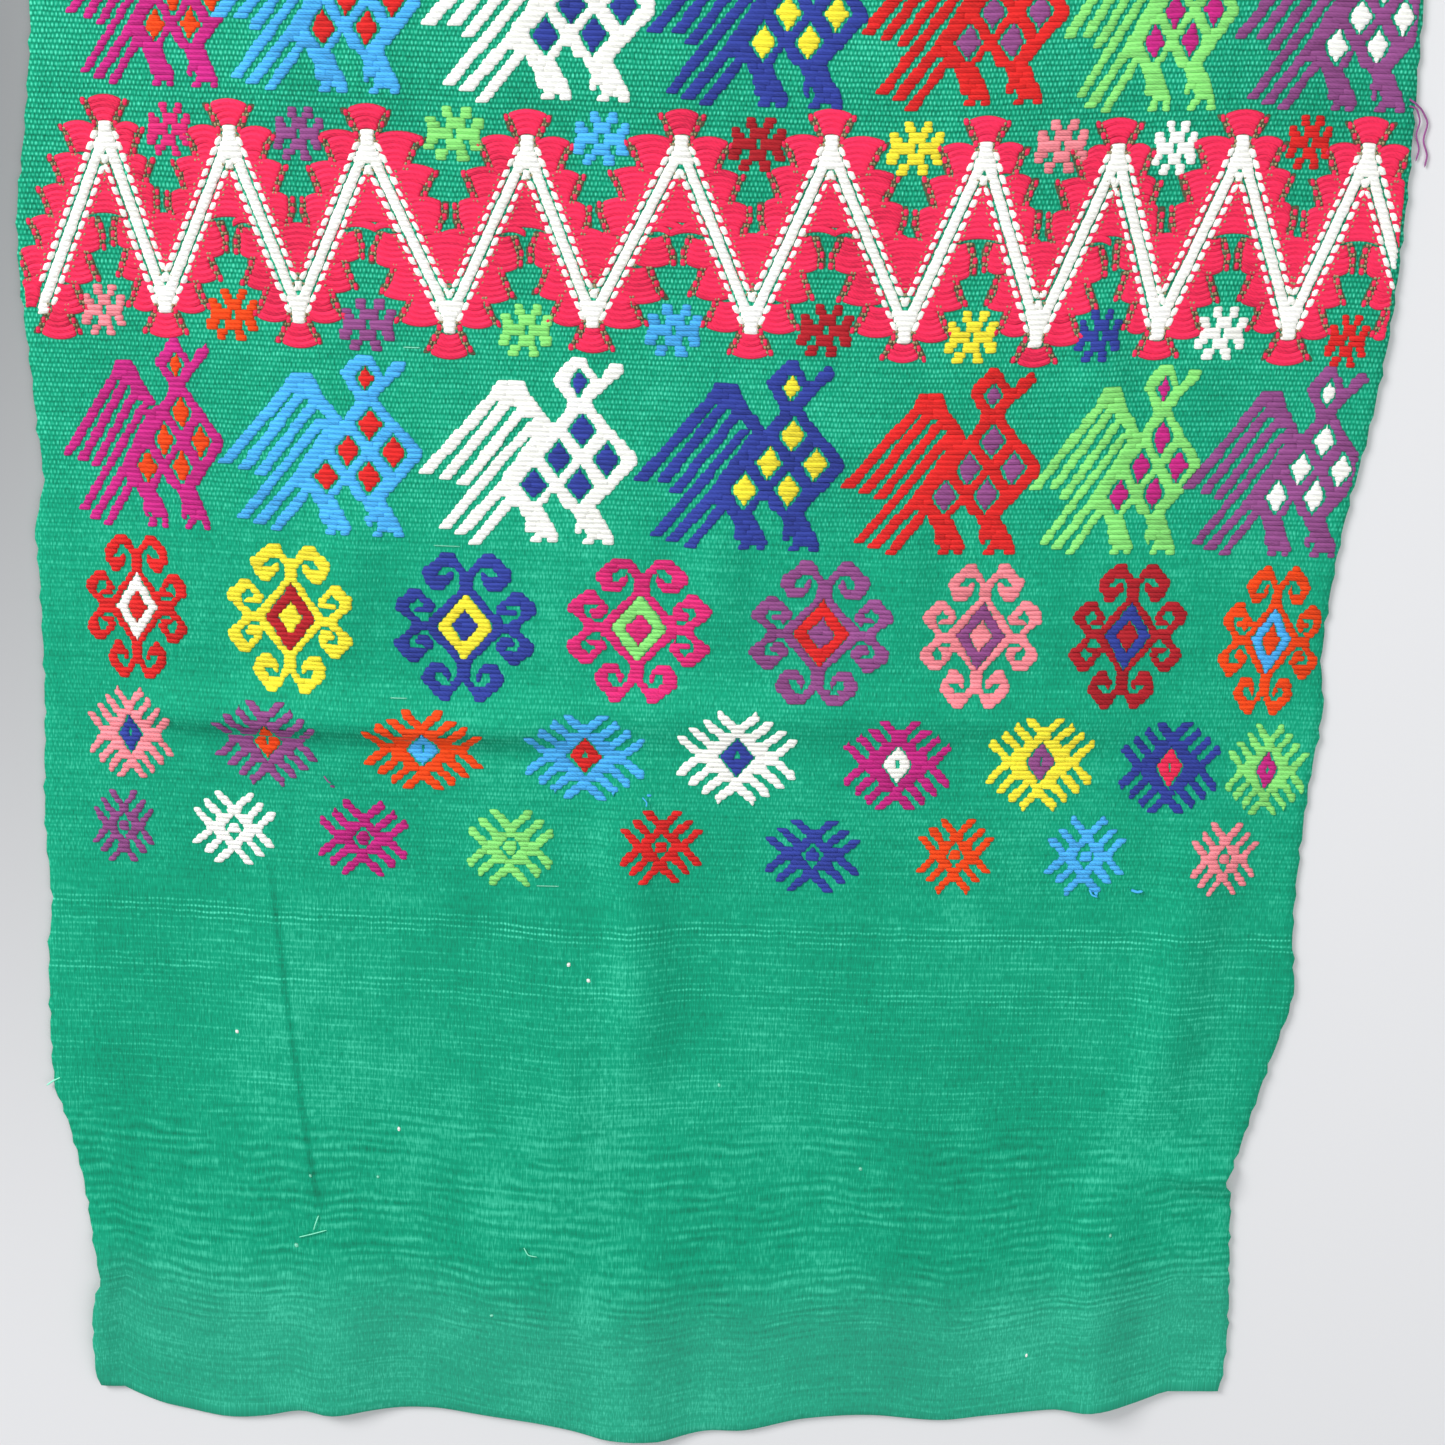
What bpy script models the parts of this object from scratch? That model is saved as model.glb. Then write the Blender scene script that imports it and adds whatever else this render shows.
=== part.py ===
"""Embroidered table runner: one hand-woven cotton cloth, laid flat with its soft folds.

Metres, +Z up. The origin is under the middle of the cloth, on the surface it lies on.
X runs across the runner and Y along it. The decorated end is at -Y, the plain end at +Y.
The cloth is one closed sheet: its underside is flat at z = 0 wherever the cloth touches
the surface, and it is lifted only along the folds of the table below.
"""
import math
from collections import namedtuple

import bmesh
import bpy

# Driving sizes, in millimetres
MM = 0.001
WIDTH = 402.5
LENGTH = 1100.0
THICKNESS = 1.5

# How finely the sheet is divided
COLUMNS = 38
HEM_REACH = 150.0

CLOTH_GREEN = (0.012, 0.352, 0.171, 1.0)
CLOTH_ROUGHNESS = 0.85

# All tables below measure along the runner from the lowest point of the decorated hem,
# in millimetres. "inset" is how far an edge lies inside the widest line of the cloth.
Station = namedtuple("Station", "from_end inset")

LEFT_SELVEDGE = [
    Station(0, 18.5),
    Station(8, 15.2),
    Station(12, 12.0),
    Station(22, 10.8),
    Station(43, 11.2),
    Station(52, 13.7),
    Station(66, 11.5),
    Station(88, 8.7),
    Station(109, 4.2),
    Station(120, 0.8),
    Station(168, 0.7),
    Station(180, 2.3),
    Station(209, 1.1),
    Station(249, 2.7),
    Station(287, 2.5),
    Station(301, 1.9),
    Station(315, 4.9),
    Station(331, 3.6),
    Station(349, 2.4),
    Station(378, 0.0),
    Station(393, 0.0),
    Station(420, 3.6),
    Station(454, 6.3),
    Station(560, 4.0),
    Station(700, 2.0),
    Station(850, 3.5),
    Station(1000, 3.0),
    Station(1080, 6.0),
    Station(1092, 8.5),
    Station(1100, 13.0),
]

RIGHT_SELVEDGE = [
    Station(0, 27.0),
    Station(18, 24.5),
    Station(25, 20.9),
    Station(46, 19.9),
    Station(84, 22.5),
    Station(96, 23.4),
    Station(101, 25.6),
    Station(106, 23.4),
    Station(126, 18.7),
    Station(145, 14.2),
    Station(155, 11.6),
    Station(166, 9.5),
    Station(185, 11.6),
    Station(206, 12.0),
    Station(236, 11.1),
    Station(260, 9.3),
    Station(272, 11.2),
    Station(294, 10.6),
    Station(318, 8.3),
    Station(345, 3.9),
    Station(375, 0.9),
    Station(405, 0.0),
    Station(421, 0.0),
    Station(454, 0.8),
    Station(560, 3.0),
    Station(700, 1.5),
    Station(850, 4.0),
    Station(1000, 5.0),
    Station(1080, 8.0),
    Station(1092, 10.5),
    Station(1100, 15.0),
]

# How far each woven end lies inside the longest line, by the place across the cloth
HemPoint = namedtuple("HemPoint", "x inset")

NEAR_HEM = [
    HemPoint(-192, 13.0),
    HemPoint(-184, 8.0),
    HemPoint(-175, 5.6),
    HemPoint(-161, 3.0),
    HemPoint(-146, 4.0),
    HemPoint(-131, 7.0),
    HemPoint(-121, 5.7),
    HemPoint(-105, 7.8),
    HemPoint(-82, 9.1),
    HemPoint(-64, 6.9),
    HemPoint(-43, 4.2),
    HemPoint(-22, 0.3),
    HemPoint(-16, 0.0),
    HemPoint(0, 0.0),
    HemPoint(19, 4.0),
    HemPoint(33, 4.6),
    HemPoint(55, 9.6),
    HemPoint(80, 11.9),
    HemPoint(106, 10.8),
    HemPoint(122, 13.0),
    HemPoint(157, 17.9),
    HemPoint(174, 21.0),
    HemPoint(182, 25.0),
]

FAR_HEM = [
    HemPoint(-200, 16.0),
    HemPoint(-190, 9.5),
    HemPoint(-150, 5.5),
    HemPoint(-100, 7.5),
    HemPoint(-40, 2.5),
    HemPoint(8, 0.0),
    HemPoint(24, 0.0),
    HemPoint(80, 4.5),
    HemPoint(130, 3.0),
    HemPoint(178, 10.0),
    HemPoint(195, 18.0),
]

# Each fold runs from (x0, from_end0) to (x1, from_end1). "bow" is how far its middle
# swings to the left, seen along the fold; "left" and "right" are the widths of its
# two flanks, "height" is the lift of its crest and "fade" the length of its ends.
Fold = namedtuple("Fold", "name x0 from_end0 x1 from_end1 bow left right height fade")

FOLDS = [
    Fold("cross tuck", -184, 246, -26, 243.5, -1.5, 15, 6.5, 5.5, 36),
    Fold("cross rise", -78, 246, 168, 254, 1.5, 12, 13, 3.2, 60),
    Fold("middle rise", -13, 108, -24, 238, -2, 13, 18, 3.6, 46),
    Fold("right rise", 149, 112, 158, 230, -1, 14, 18, 3.6, 40),
    Fold("right hem rise", 146, -45, 134, 112, 3, 13, 20, 4.6, 40),
    Fold("middle hem rise", -14, -50, -17, 84, -2, 21, 23, 2.8, 44),
    Fold("left hem rise", -112, -50, -104, 66, 2, 26, 22, 2.4, 44),
    Fold("right brocade rise", 122, 312, 115, 398, 2, 12, 15, 2.4, 30),
    Fold("middle brocade rise", 4, 262, 8, 336, 1, 14, 14, 2.2, 30),
    Fold("left brocade rise", -107, 258, -104, 322, 0, 13, 13, 1.9, 26),
    Fold("inner brocade rise", 65, 262, 59, 326, 0, 13, 14, 2.0, 28),
    Fold("notch tuck", 188, 101, 148, 108, 2, 8, 9, 2.8, 16),
    Fold("left corner curl", -189, 6, -184, 78, 3, 8, 11, 2.4, 24),
    Fold("middle storage fold", -190, 548, 190, 553, 3, 16, 16, 3.2, 50),
    Fold("far storage fold", -188, 850, 184, 856, -3, 16, 14, 3.4, 55),
    Fold("plain left rise", -70, 590, -48, 800, 6, 24, 26, 3.0, 70),
    Fold("plain right rise", 96, 640, 74, 838, -5, 26, 24, 3.2, 70),
    Fold("far left hem rise", -84, 960, -92, 1150, 3, 26, 24, 3.2, 60),
    Fold("far right hem rise", 58, 930, 70, 1150, 4, 24, 28, 3.6, 60),
]

# Lengths of the runner that are divided finely: across the cross fold and the hems
Stretch = namedtuple("Stretch", "upto step")

STRETCHES = [
    Stretch(228, 11.0),
    Stretch(264, 4.5),
    Stretch(440, 12.0),
    Stretch(530, 25.0),
    Stretch(570, 10.0),
    Stretch(835, 33.0),
    Stretch(875, 10.0),
    Stretch(1040, 33.0),
    Stretch(LENGTH, 15.0),
]


def ease(t):
    """Go smoothly from 0 to 1 as t goes from 0 to 1."""
    t = min(1.0, max(0.0, t))
    return t * t * (3.0 - 2.0 * t)


def smooth_inset(stations, place):
    """Read a table of (place, inset) rows at any place, on a smooth curve, never below 0."""
    if place <= stations[0][0]:
        return stations[0][1]
    if place >= stations[-1][0]:
        return stations[-1][1]
    last = len(stations) - 1
    i = 0
    while stations[i + 1][0] < place:
        i += 1
    before = stations[max(i - 1, 0)]
    here, there = stations[i], stations[i + 1]
    after = stations[min(i + 2, last)]
    gap = there[0] - here[0]
    t = (place - here[0]) / gap
    slope_here = (there[1] - before[1]) / max(there[0] - before[0], 1e-6) * gap
    slope_there = (after[1] - here[1]) / max(after[0] - here[0], 1e-6) * gap
    value = (
        (2 * t**3 - 3 * t**2 + 1) * here[1]
        + (t**3 - 2 * t**2 + t) * slope_here
        + (3 * t**2 - 2 * t**3) * there[1]
        + (t**3 - t**2) * slope_there
    )
    return max(0.0, value)


def sheet_place(across, from_end):
    """Turn a share of the width and a length along the cloth into x and y on the surface."""
    x_straight = (across - 0.5) * WIDTH
    near = smooth_inset(NEAR_HEM, x_straight) * (1.0 - ease(from_end / HEM_REACH))
    far = smooth_inset(FAR_HEM, x_straight) * (1.0 - ease((LENGTH - from_end) / HEM_REACH))
    along = from_end + near - far
    left = -WIDTH / 2 + smooth_inset(LEFT_SELVEDGE, along)
    right = WIDTH / 2 - smooth_inset(RIGHT_SELVEDGE, along)
    return left + across * (right - left), along - LENGTH / 2


def fold_lift(fold, x, from_end):
    """Height that one fold gives the cloth at a place; zero beyond its flanks and ends."""
    run_x = fold.x1 - fold.x0
    run_y = fold.from_end1 - fold.from_end0
    length = math.hypot(run_x, run_y)
    dx = x - fold.x0
    dy = from_end - fold.from_end0
    along = (dx * run_x + dy * run_y) / length
    if along <= 0.0 or along >= length:
        return 0.0
    bow = fold.bow * math.sin(math.pi * along / length)
    aside = (dy * run_x - dx * run_y) / length - bow
    flank = fold.left if aside > 0.0 else fold.right
    if abs(aside) >= flank:
        return 0.0
    ends = ease(along / fold.fade) * ease((length - along) / fold.fade)
    return fold.height * ends * math.cos(math.pi / 2 * aside / flank) ** 2


def cloth_lift(x, from_end):
    """Height of the cloth's underside above the surface at a place."""
    return sum(fold_lift(fold, x, from_end) for fold in FOLDS)


def row_stations():
    """Lengths along the cloth at which the sheet has a row of corners."""
    rows = [0.0]
    for stretch in STRETCHES:
        count = max(1, round((stretch.upto - rows[-1]) / stretch.step))
        start = rows[-1]
        rows += [start + (stretch.upto - start) * (i + 1) / count for i in range(count)]
    return rows


def cloth_material():
    """Matt green cotton."""
    material = bpy.data.materials.new("green_cotton")
    material.use_nodes = True
    shader = material.node_tree.nodes["Principled BSDF"]
    shader.inputs["Base Color"].default_value = CLOTH_GREEN
    shader.inputs["Roughness"].default_value = CLOTH_ROUGHNESS
    shader.inputs["Metallic"].default_value = 0.0
    return material


def make_runner_cloth():
    """The whole runner: one sheet of even thickness on the shape of its underside."""
    mesh = bpy.data.meshes.new("runner_cloth")
    builder = bmesh.new()
    rows = row_stations()
    grid = []
    for from_end in rows:
        line = []
        for column in range(COLUMNS + 1):
            x, y = sheet_place(column / COLUMNS, from_end)
            z = cloth_lift(x, y + LENGTH / 2)
            line.append(builder.verts.new((x * MM, y * MM, z * MM)))
        grid.append(line)
    for low, high in zip(grid, grid[1:]):
        for column in range(COLUMNS):
            builder.faces.new((low[column], low[column + 1], high[column + 1], high[column]))
    builder.to_mesh(mesh)
    builder.free()
    mesh.shade_smooth()
    mesh.set_sharp_from_angle(angle=math.radians(40))

    cloth = bpy.data.objects.new("runner_cloth", mesh)
    bpy.context.scene.collection.objects.link(cloth)
    cloth.data.materials.append(cloth_material())

    body = cloth.modifiers.new("cloth_thickness", "SOLIDIFY")
    body.thickness = THICKNESS * MM
    body.offset = 1.0
    body.use_even_offset = True
    return cloth


def main():
    for thing in list(bpy.data.objects):
        bpy.data.objects.remove(thing, do_unlink=True)
    make_runner_cloth()


main()
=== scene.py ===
"""Looks of the embroidered table runner: green backstrap cloth with woven-in brocade.

The cloth is a fine sheet on the outline and folds of its solid. Every brocade figure is
woven as on the loom: each weft row is painted end by end from a small drawing of the
figure, and each run of one colour becomes a float of doubled yarn lying on the cloth.
Lengths are in millimetres until a mesh is made. "from_end" is measured along the runner
from the lowest point of the decorated hem, x across it from the middle.
"""
import math
from collections import namedtuple
from functools import partial

import bpy
import numpy as np
from mathutils import Matrix, Vector


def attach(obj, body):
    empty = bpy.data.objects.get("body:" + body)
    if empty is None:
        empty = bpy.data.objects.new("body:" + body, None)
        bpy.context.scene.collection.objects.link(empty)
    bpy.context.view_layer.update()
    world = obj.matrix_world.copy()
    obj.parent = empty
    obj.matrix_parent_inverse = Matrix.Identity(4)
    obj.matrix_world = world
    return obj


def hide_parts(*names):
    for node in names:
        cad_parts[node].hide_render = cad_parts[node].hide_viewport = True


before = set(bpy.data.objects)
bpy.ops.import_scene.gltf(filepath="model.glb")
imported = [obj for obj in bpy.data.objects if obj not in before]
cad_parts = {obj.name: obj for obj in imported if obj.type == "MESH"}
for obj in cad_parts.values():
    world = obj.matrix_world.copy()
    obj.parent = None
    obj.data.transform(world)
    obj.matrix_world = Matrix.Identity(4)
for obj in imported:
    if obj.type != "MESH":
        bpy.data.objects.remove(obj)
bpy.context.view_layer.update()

# Driving sizes of the cloth, the same as in its solid
MM = 0.001
WIDTH = 402.5
LENGTH = 1100.0
HEM_REACH = 150.0
CLOTH_THICKNESS = 1.1
UNDERSIDE_DROP = 0.8
ROUNDED_EDGE = 0.45

# How finely the sheet is divided
CELL_ACROSS = 3.0
CELL_DECORATED = 3.0
CELL_PLAIN = 8.0
DECORATED_LENGTH = 505.0

# The weave: distance between warp ends, how far brocade stays from the selvedge, and the
# place near the right one where the climb of the rows is read
END_PITCH = 0.6
SELVEDGE_MARGIN = 0.6
RIGHT_SIDE = 190.0

# How far each selvedge lies inside the widest line of the cloth
Station = namedtuple("Station", "from_end inset")

LEFT_SELVEDGE = [
    Station(0, 18.5),
    Station(8, 15.2),
    Station(12, 12.0),
    Station(22, 10.8),
    Station(43, 11.2),
    Station(52, 13.7),
    Station(66, 11.5),
    Station(88, 8.7),
    Station(109, 4.2),
    Station(120, 0.8),
    Station(168, 0.7),
    Station(180, 2.3),
    Station(209, 1.1),
    Station(249, 2.7),
    Station(287, 2.5),
    Station(301, 1.9),
    Station(315, 4.9),
    Station(331, 3.6),
    Station(349, 2.4),
    Station(378, 0.0),
    Station(393, 0.0),
    Station(420, 3.6),
    Station(454, 6.3),
    Station(560, 4.0),
    Station(700, 2.0),
    Station(850, 3.5),
    Station(1000, 3.0),
    Station(1080, 6.0),
    Station(1092, 8.5),
    Station(1100, 13.0),
]

RIGHT_SELVEDGE = [
    Station(0, 27.0),
    Station(18, 24.5),
    Station(25, 20.9),
    Station(46, 19.9),
    Station(84, 22.5),
    Station(96, 23.4),
    Station(101, 25.6),
    Station(106, 23.4),
    Station(126, 18.7),
    Station(145, 14.2),
    Station(155, 11.6),
    Station(166, 9.5),
    Station(185, 11.6),
    Station(206, 12.0),
    Station(236, 11.1),
    Station(260, 9.3),
    Station(272, 11.2),
    Station(294, 10.6),
    Station(318, 8.3),
    Station(345, 3.9),
    Station(375, 0.9),
    Station(405, 0.0),
    Station(421, 0.0),
    Station(454, 0.8),
    Station(560, 3.0),
    Station(700, 1.5),
    Station(850, 4.0),
    Station(1000, 5.0),
    Station(1080, 8.0),
    Station(1092, 10.5),
    Station(1100, 15.0),
]

# How far each woven end lies inside the longest line, by the place across the cloth
HemPoint = namedtuple("HemPoint", "x inset")

NEAR_HEM = [
    HemPoint(-192, 13.0),
    HemPoint(-184, 8.0),
    HemPoint(-175, 5.6),
    HemPoint(-161, 3.0),
    HemPoint(-146, 4.0),
    HemPoint(-131, 7.0),
    HemPoint(-121, 5.7),
    HemPoint(-105, 7.8),
    HemPoint(-82, 9.1),
    HemPoint(-64, 6.9),
    HemPoint(-43, 4.2),
    HemPoint(-22, 0.3),
    HemPoint(-16, 0.0),
    HemPoint(0, 0.0),
    HemPoint(19, 4.0),
    HemPoint(33, 4.6),
    HemPoint(55, 9.6),
    HemPoint(80, 11.9),
    HemPoint(106, 10.8),
    HemPoint(122, 13.0),
    HemPoint(157, 17.9),
    HemPoint(174, 21.0),
    HemPoint(182, 25.0),
]

FAR_HEM = [
    HemPoint(-200, 16.0),
    HemPoint(-190, 9.5),
    HemPoint(-150, 5.5),
    HemPoint(-100, 7.5),
    HemPoint(-40, 2.5),
    HemPoint(8, 0.0),
    HemPoint(24, 0.0),
    HemPoint(80, 4.5),
    HemPoint(130, 3.0),
    HemPoint(178, 10.0),
    HemPoint(195, 18.0),
]

# Each fold runs from (x0, from_end0) to (x1, from_end1). "bow" is how far its middle
# swings to the left, seen along the fold; "left" and "right" are the widths of its
# two flanks, "height" is the lift of its crest and "fade" the length of its ends.
Fold = namedtuple("Fold", "name x0 from_end0 x1 from_end1 bow left right height fade")

FOLDS = [
    Fold("cross tuck", -184, 246, -26, 243.5, -1.5, 15, 6.5, 5.5, 36),
    Fold("cross rise", -78, 246, 168, 254, 1.5, 12, 13, 3.2, 60),
    Fold("middle rise", -13, 108, -24, 238, -2, 13, 18, 3.6, 46),
    Fold("right rise", 149, 112, 158, 230, -1, 14, 18, 3.6, 40),
    Fold("right hem rise", 146, -45, 134, 112, 3, 13, 20, 4.6, 40),
    Fold("middle hem rise", -14, -50, -17, 84, -2, 21, 23, 2.8, 44),
    Fold("left hem rise", -112, -50, -104, 66, 2, 26, 22, 2.4, 44),
    Fold("right brocade rise", 122, 312, 115, 398, 2, 12, 15, 2.4, 30),
    Fold("middle brocade rise", 4, 262, 8, 336, 1, 14, 14, 2.2, 30),
    Fold("left brocade rise", -107, 258, -104, 322, 0, 13, 13, 1.9, 26),
    Fold("inner brocade rise", 65, 262, 59, 326, 0, 13, 14, 2.0, 28),
    Fold("notch tuck", 188, 101, 148, 108, 2, 8, 9, 2.8, 16),
    Fold("left corner curl", -189, 6, -184, 78, 3, 8, 11, 2.4, 24),
    Fold("middle storage fold", -190, 548, 190, 553, 3, 16, 16, 3.2, 50),
    Fold("far storage fold", -188, 850, 184, 856, -3, 16, 14, 3.4, 55),
    Fold("plain left rise", -70, 590, -48, 800, 6, 24, 26, 3.0, 70),
    Fold("plain right rise", 96, 640, 74, 838, -5, 26, 24, 3.2, 70),
    Fold("far left hem rise", -84, 960, -92, 1150, 3, 26, 24, 3.2, 60),
    Fold("far right hem rise", 58, 930, 70, 1150, 4, 24, 28, 3.6, 60),
]

# Pressed creases and puckers too fine for the solid
FINE_FOLDS = [
    Fold("pressed crease", -129, 200, -116, 72, -3, 2.2, 3.0, 0.55, 26),
    Fold("short crease", -61, 176, -66, 122, 1, 2.5, 3.0, 0.35, 20),
    Fold("crease under the zigzag", -70, 316, -40, 352, 2, 3.0, 3.5, 0.5, 14),
    Fold("pucker by the fourth diamond", 12, 300, 9, 250, 1, 3.0, 4.0, 0.6, 16),
    Fold("pucker by the sixth diamond", 110, 305, 106, 256, -1, 3.0, 4.0, 0.6, 16),
    Fold("hook of the middle rise", -41, 142, -22, 108, -4, 5.0, 6.0, 0.9, 12),
    Fold("broad rise left of the middle", -44, -20, -40, 200, 0, 44, 30, 1.6, 60),
    Fold("broad rise on the right", 150, -20, 152, 200, 0, 34, 40, 1.4, 60),
    Fold("broad rise on the left", -128, -20, -124, 210, 0, 30, 38, 0.9, 60),
    Fold("low rise right of the middle", 60, -20, 52, 190, 0, 26, 52, 0.9, 60),
]

# Small waves that any washed hand-woven cloth has
Wave = namedtuple("Wave", "across along phase height")

COCKLE = [
    Wave(0.062, 0.021, 0.4, 0.10),
    Wave(-0.047, 0.058, 2.1, 0.09),
    Wave(0.118, -0.036, 4.0, 0.08),
    Wave(0.031, 0.104, 1.3, 0.08),
    Wave(-0.155, 0.083, 5.2, 0.06),
    Wave(0.201, 0.142, 3.3, 0.045),
]

# Distance between weft rows, along the runner
WeftStretch = namedtuple("WeftStretch", "upto pitch")

WEFT_STRETCHES = [
    WeftStretch(46, 1.30),
    WeftStretch(108, 1.95),
    WeftStretch(186, 1.85),
    WeftStretch(256, 1.45),
    WeftStretch(300, 1.42),
    WeftStretch(2000, 1.50),
]


# Outline and folds of the cloth

def ease(t):
    """Go smoothly from 0 to 1 as t goes from 0 to 1, for a number or an array."""
    t = np.clip(t, 0.0, 1.0)
    return t * t * (3.0 - 2.0 * t)


def ramp(value, start, end):
    """Go smoothly from 0 to 1 as a value goes from start to end."""
    return ease((value - start) / (end - start))


def smooth_inset(stations, place):
    """Read a table of (place, inset) rows at any place, on a smooth curve, never below 0."""
    if place <= stations[0][0]:
        return stations[0][1]
    if place >= stations[-1][0]:
        return stations[-1][1]
    last = len(stations) - 1
    i = 0
    while stations[i + 1][0] < place:
        i += 1
    before = stations[max(i - 1, 0)]
    here, there = stations[i], stations[i + 1]
    after = stations[min(i + 2, last)]
    gap = there[0] - here[0]
    t = (place - here[0]) / gap
    slope_here = (there[1] - before[1]) / max(there[0] - before[0], 1e-6) * gap
    slope_there = (after[1] - here[1]) / max(after[0] - here[0], 1e-6) * gap
    value = (
        (2 * t**3 - 3 * t**2 + 1) * here[1]
        + (t**3 - 2 * t**2 + t) * slope_here
        + (3 * t**2 - 2 * t**3) * there[1]
        + (t**3 - t**2) * slope_there
    )
    return max(0.0, value)


def left_edge(from_end):
    """Place of the left selvedge."""
    return -WIDTH / 2 + smooth_inset(LEFT_SELVEDGE, from_end)


def right_edge(from_end):
    """Place of the right selvedge."""
    return WIDTH / 2 - smooth_inset(RIGHT_SELVEDGE, from_end)


def sheet_place(across, from_end):
    """Turn a share of the width and a length along the cloth into x and from_end."""
    x_straight = (across - 0.5) * WIDTH
    near = smooth_inset(NEAR_HEM, x_straight) * (1.0 - float(ease(from_end / HEM_REACH)))
    far = smooth_inset(FAR_HEM, x_straight) * (1.0 - float(ease((LENGTH - from_end) / HEM_REACH)))
    along = from_end + near - far
    left, right = left_edge(along), right_edge(along)
    return left + across * (right - left), along


def fold_lift(fold, x, from_end):
    """Height that one fold gives the cloth at arrays of places."""
    run_x = fold.x1 - fold.x0
    run_y = fold.from_end1 - fold.from_end0
    length = math.hypot(run_x, run_y)
    dx = x - fold.x0
    dy = from_end - fold.from_end0
    along = (dx * run_x + dy * run_y) / length
    inside = (along > 0.0) & (along < length)
    bow = fold.bow * np.sin(math.pi * along / length)
    aside = (dy * run_x - dx * run_y) / length - bow
    flank = np.where(aside > 0.0, fold.left, fold.right)
    share = np.clip(np.abs(aside) / flank, 0.0, 1.0)
    ends = ease(along / fold.fade) * ease((length - along) / fold.fade)
    return np.where(inside, fold.height * ends * np.cos(math.pi / 2 * share) ** 2, 0.0)


def cloth_lift(x, from_end):
    """Height of the cloth's underside above the surface, with its fine creases."""
    lift = np.zeros_like(x)
    for fold in FOLDS + FINE_FOLDS:
        lift += fold_lift(fold, x, from_end)
    for wave in COCKLE:
        lift += wave.height * (1.0 + np.sin(wave.across * x + wave.along * from_end + wave.phase))
    return lift


# Weft rows

# How far the rows climb towards the selvedges, on the right more in the upper part, and
# how far they sag left of the middle
RIGHT_CLIMB = 2.6
RIGHT_CLIMB_ABOVE = 3.4
LEFT_CLIMB = 2.2
SAG = 2.4
SAG_PLACE = -33
SAG_HALF = 24

# Waves of the rows near the hem
HEM_WAVES = [
    Wave(0.041, 0.0, 0.9, 1.1),
    Wave(0.083, 0.02, 2.2, 0.7),
]


def weft_drift(x, weft):
    """How far along the runner a weft lies from its place in the middle of the cloth."""
    right = (RIGHT_CLIMB + RIGHT_CLIMB_ABOVE * ramp(weft, 240, 420)) * ramp(x, 40, 180)
    left = LEFT_CLIMB * ramp(-x, 90, 180) * (1.0 - ramp(weft, 300, 380))
    near_hem = 1.0 - ramp(weft, 90, 160)
    waves = sum(wave.height * np.sin(wave.across * x + wave.phase + wave.along * weft) for wave in HEM_WAVES)
    sag = SAG * np.exp(-(((x - SAG_PLACE) / SAG_HALF) ** 2))
    sag = sag * ramp(weft, 60, 120) * (1.0 - ramp(weft, 178, 190))
    return right + left + near_hem * waves - sag


def rows_up_to(weft):
    """How many weft rows the cloth has below a place."""
    count = 0.0
    start = 0.0
    for stretch in WEFT_STRETCHES:
        end = min(weft, stretch.upto)
        if end > start:
            count += (end - start) / stretch.pitch
        start = stretch.upto
    return count


def weft_places(low, high):
    """Middles of the weft rows between two places, with their pitch."""
    places = []
    count = math.ceil(rows_up_to(low))
    start = 0.0
    rows_before = 0.0
    for stretch in WEFT_STRETCHES:
        rows_here = (stretch.upto - start) / stretch.pitch
        while count + 0.5 < rows_before + rows_here:
            weft = start + (count + 0.5 - rows_before) * stretch.pitch
            if weft > high:
                return places
            places.append((weft, stretch.pitch))
            count += 1
        rows_before += rows_here
        start = stretch.upto
    return places


# Yarn colours, as the eye sees them on the cloth (0 to 255)
Yarn = namedtuple("Yarn", "name red green blue")

YARNS = [
    Yarn("crimson", 249, 44, 88),
    Yarn("cream_white", 255, 255, 247),
    Yarn("magenta", 202, 38, 132),
    Yarn("light_blue", 78, 182, 250),
    Yarn("navy", 50, 66, 156),
    Yarn("red", 226, 38, 36),
    Yarn("lime", 142, 232, 124),
    Yarn("purple", 148, 78, 138),
    Yarn("orange", 248, 73, 14),
    Yarn("yellow", 255, 236, 60),
    Yarn("salmon_pink", 255, 145, 154),
    Yarn("dark_red", 178, 30, 40),
    Yarn("hot_pink", 226, 44, 120),
    Yarn("warp_tie", 172, 158, 118),
    Yarn("pale_green", 138, 236, 200),
    # A dark strip of painted shade round the bells' curls
    Yarn("curl_shade_strip", 88, 84, 62),
]
YARN_NUMBER = {yarn.name: number for number, yarn in enumerate(YARNS)}
BARE = -1

# A figure is a list of shapes, painted in turn. "part" is which of the figure's yarns
# a shape takes: 0, 1 or 2, or BARE where the cloth shows through it.
Patch = namedtuple("Patch", "part points")
Stroke = namedtuple("Stroke", "part width points")

# A bird's legs: "x" is the middle of the ankle, and toes and spur lie left or right of it
BirdLeg = namedtuple("BirdLeg", "x thick toe_left toe_right spur")

BIRD_LEGS = [
    BirdLeg(4.9, 3.85, 3.0, 2.1, 5.5),
    BirdLeg(20.3, 4.1, 4.3, 3.1, 6.7),
]


def band(part, start, end, half_width):
    """A slanting band with level ends, given by its middle line."""
    (x0, y0), (x1, y1) = start, end
    corners = [(x0 - half_width, y0), (x0 + half_width, y0), (x1 + half_width, y1), (x1 - half_width, y1)]
    return Patch(part, corners)


def diamond(part, x, y, half_width, half_height):
    """A diamond round a middle point."""
    return Patch(part, [(x, y + half_height), (x + half_width, y), (x, y - half_height), (x - half_width, y)])


def block(part, x0, x1, y0, y1):
    """A rectangle."""
    return Patch(part, [(x0, y0), (x1, y0), (x1, y1), (x0, y1)])


def mirrored(shapes, across=-1, up=1):
    """The same shapes turned over."""
    return [shape._replace(points=[(across * x, up * y) for x, y in shape.points]) for shape in shapes]


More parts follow.
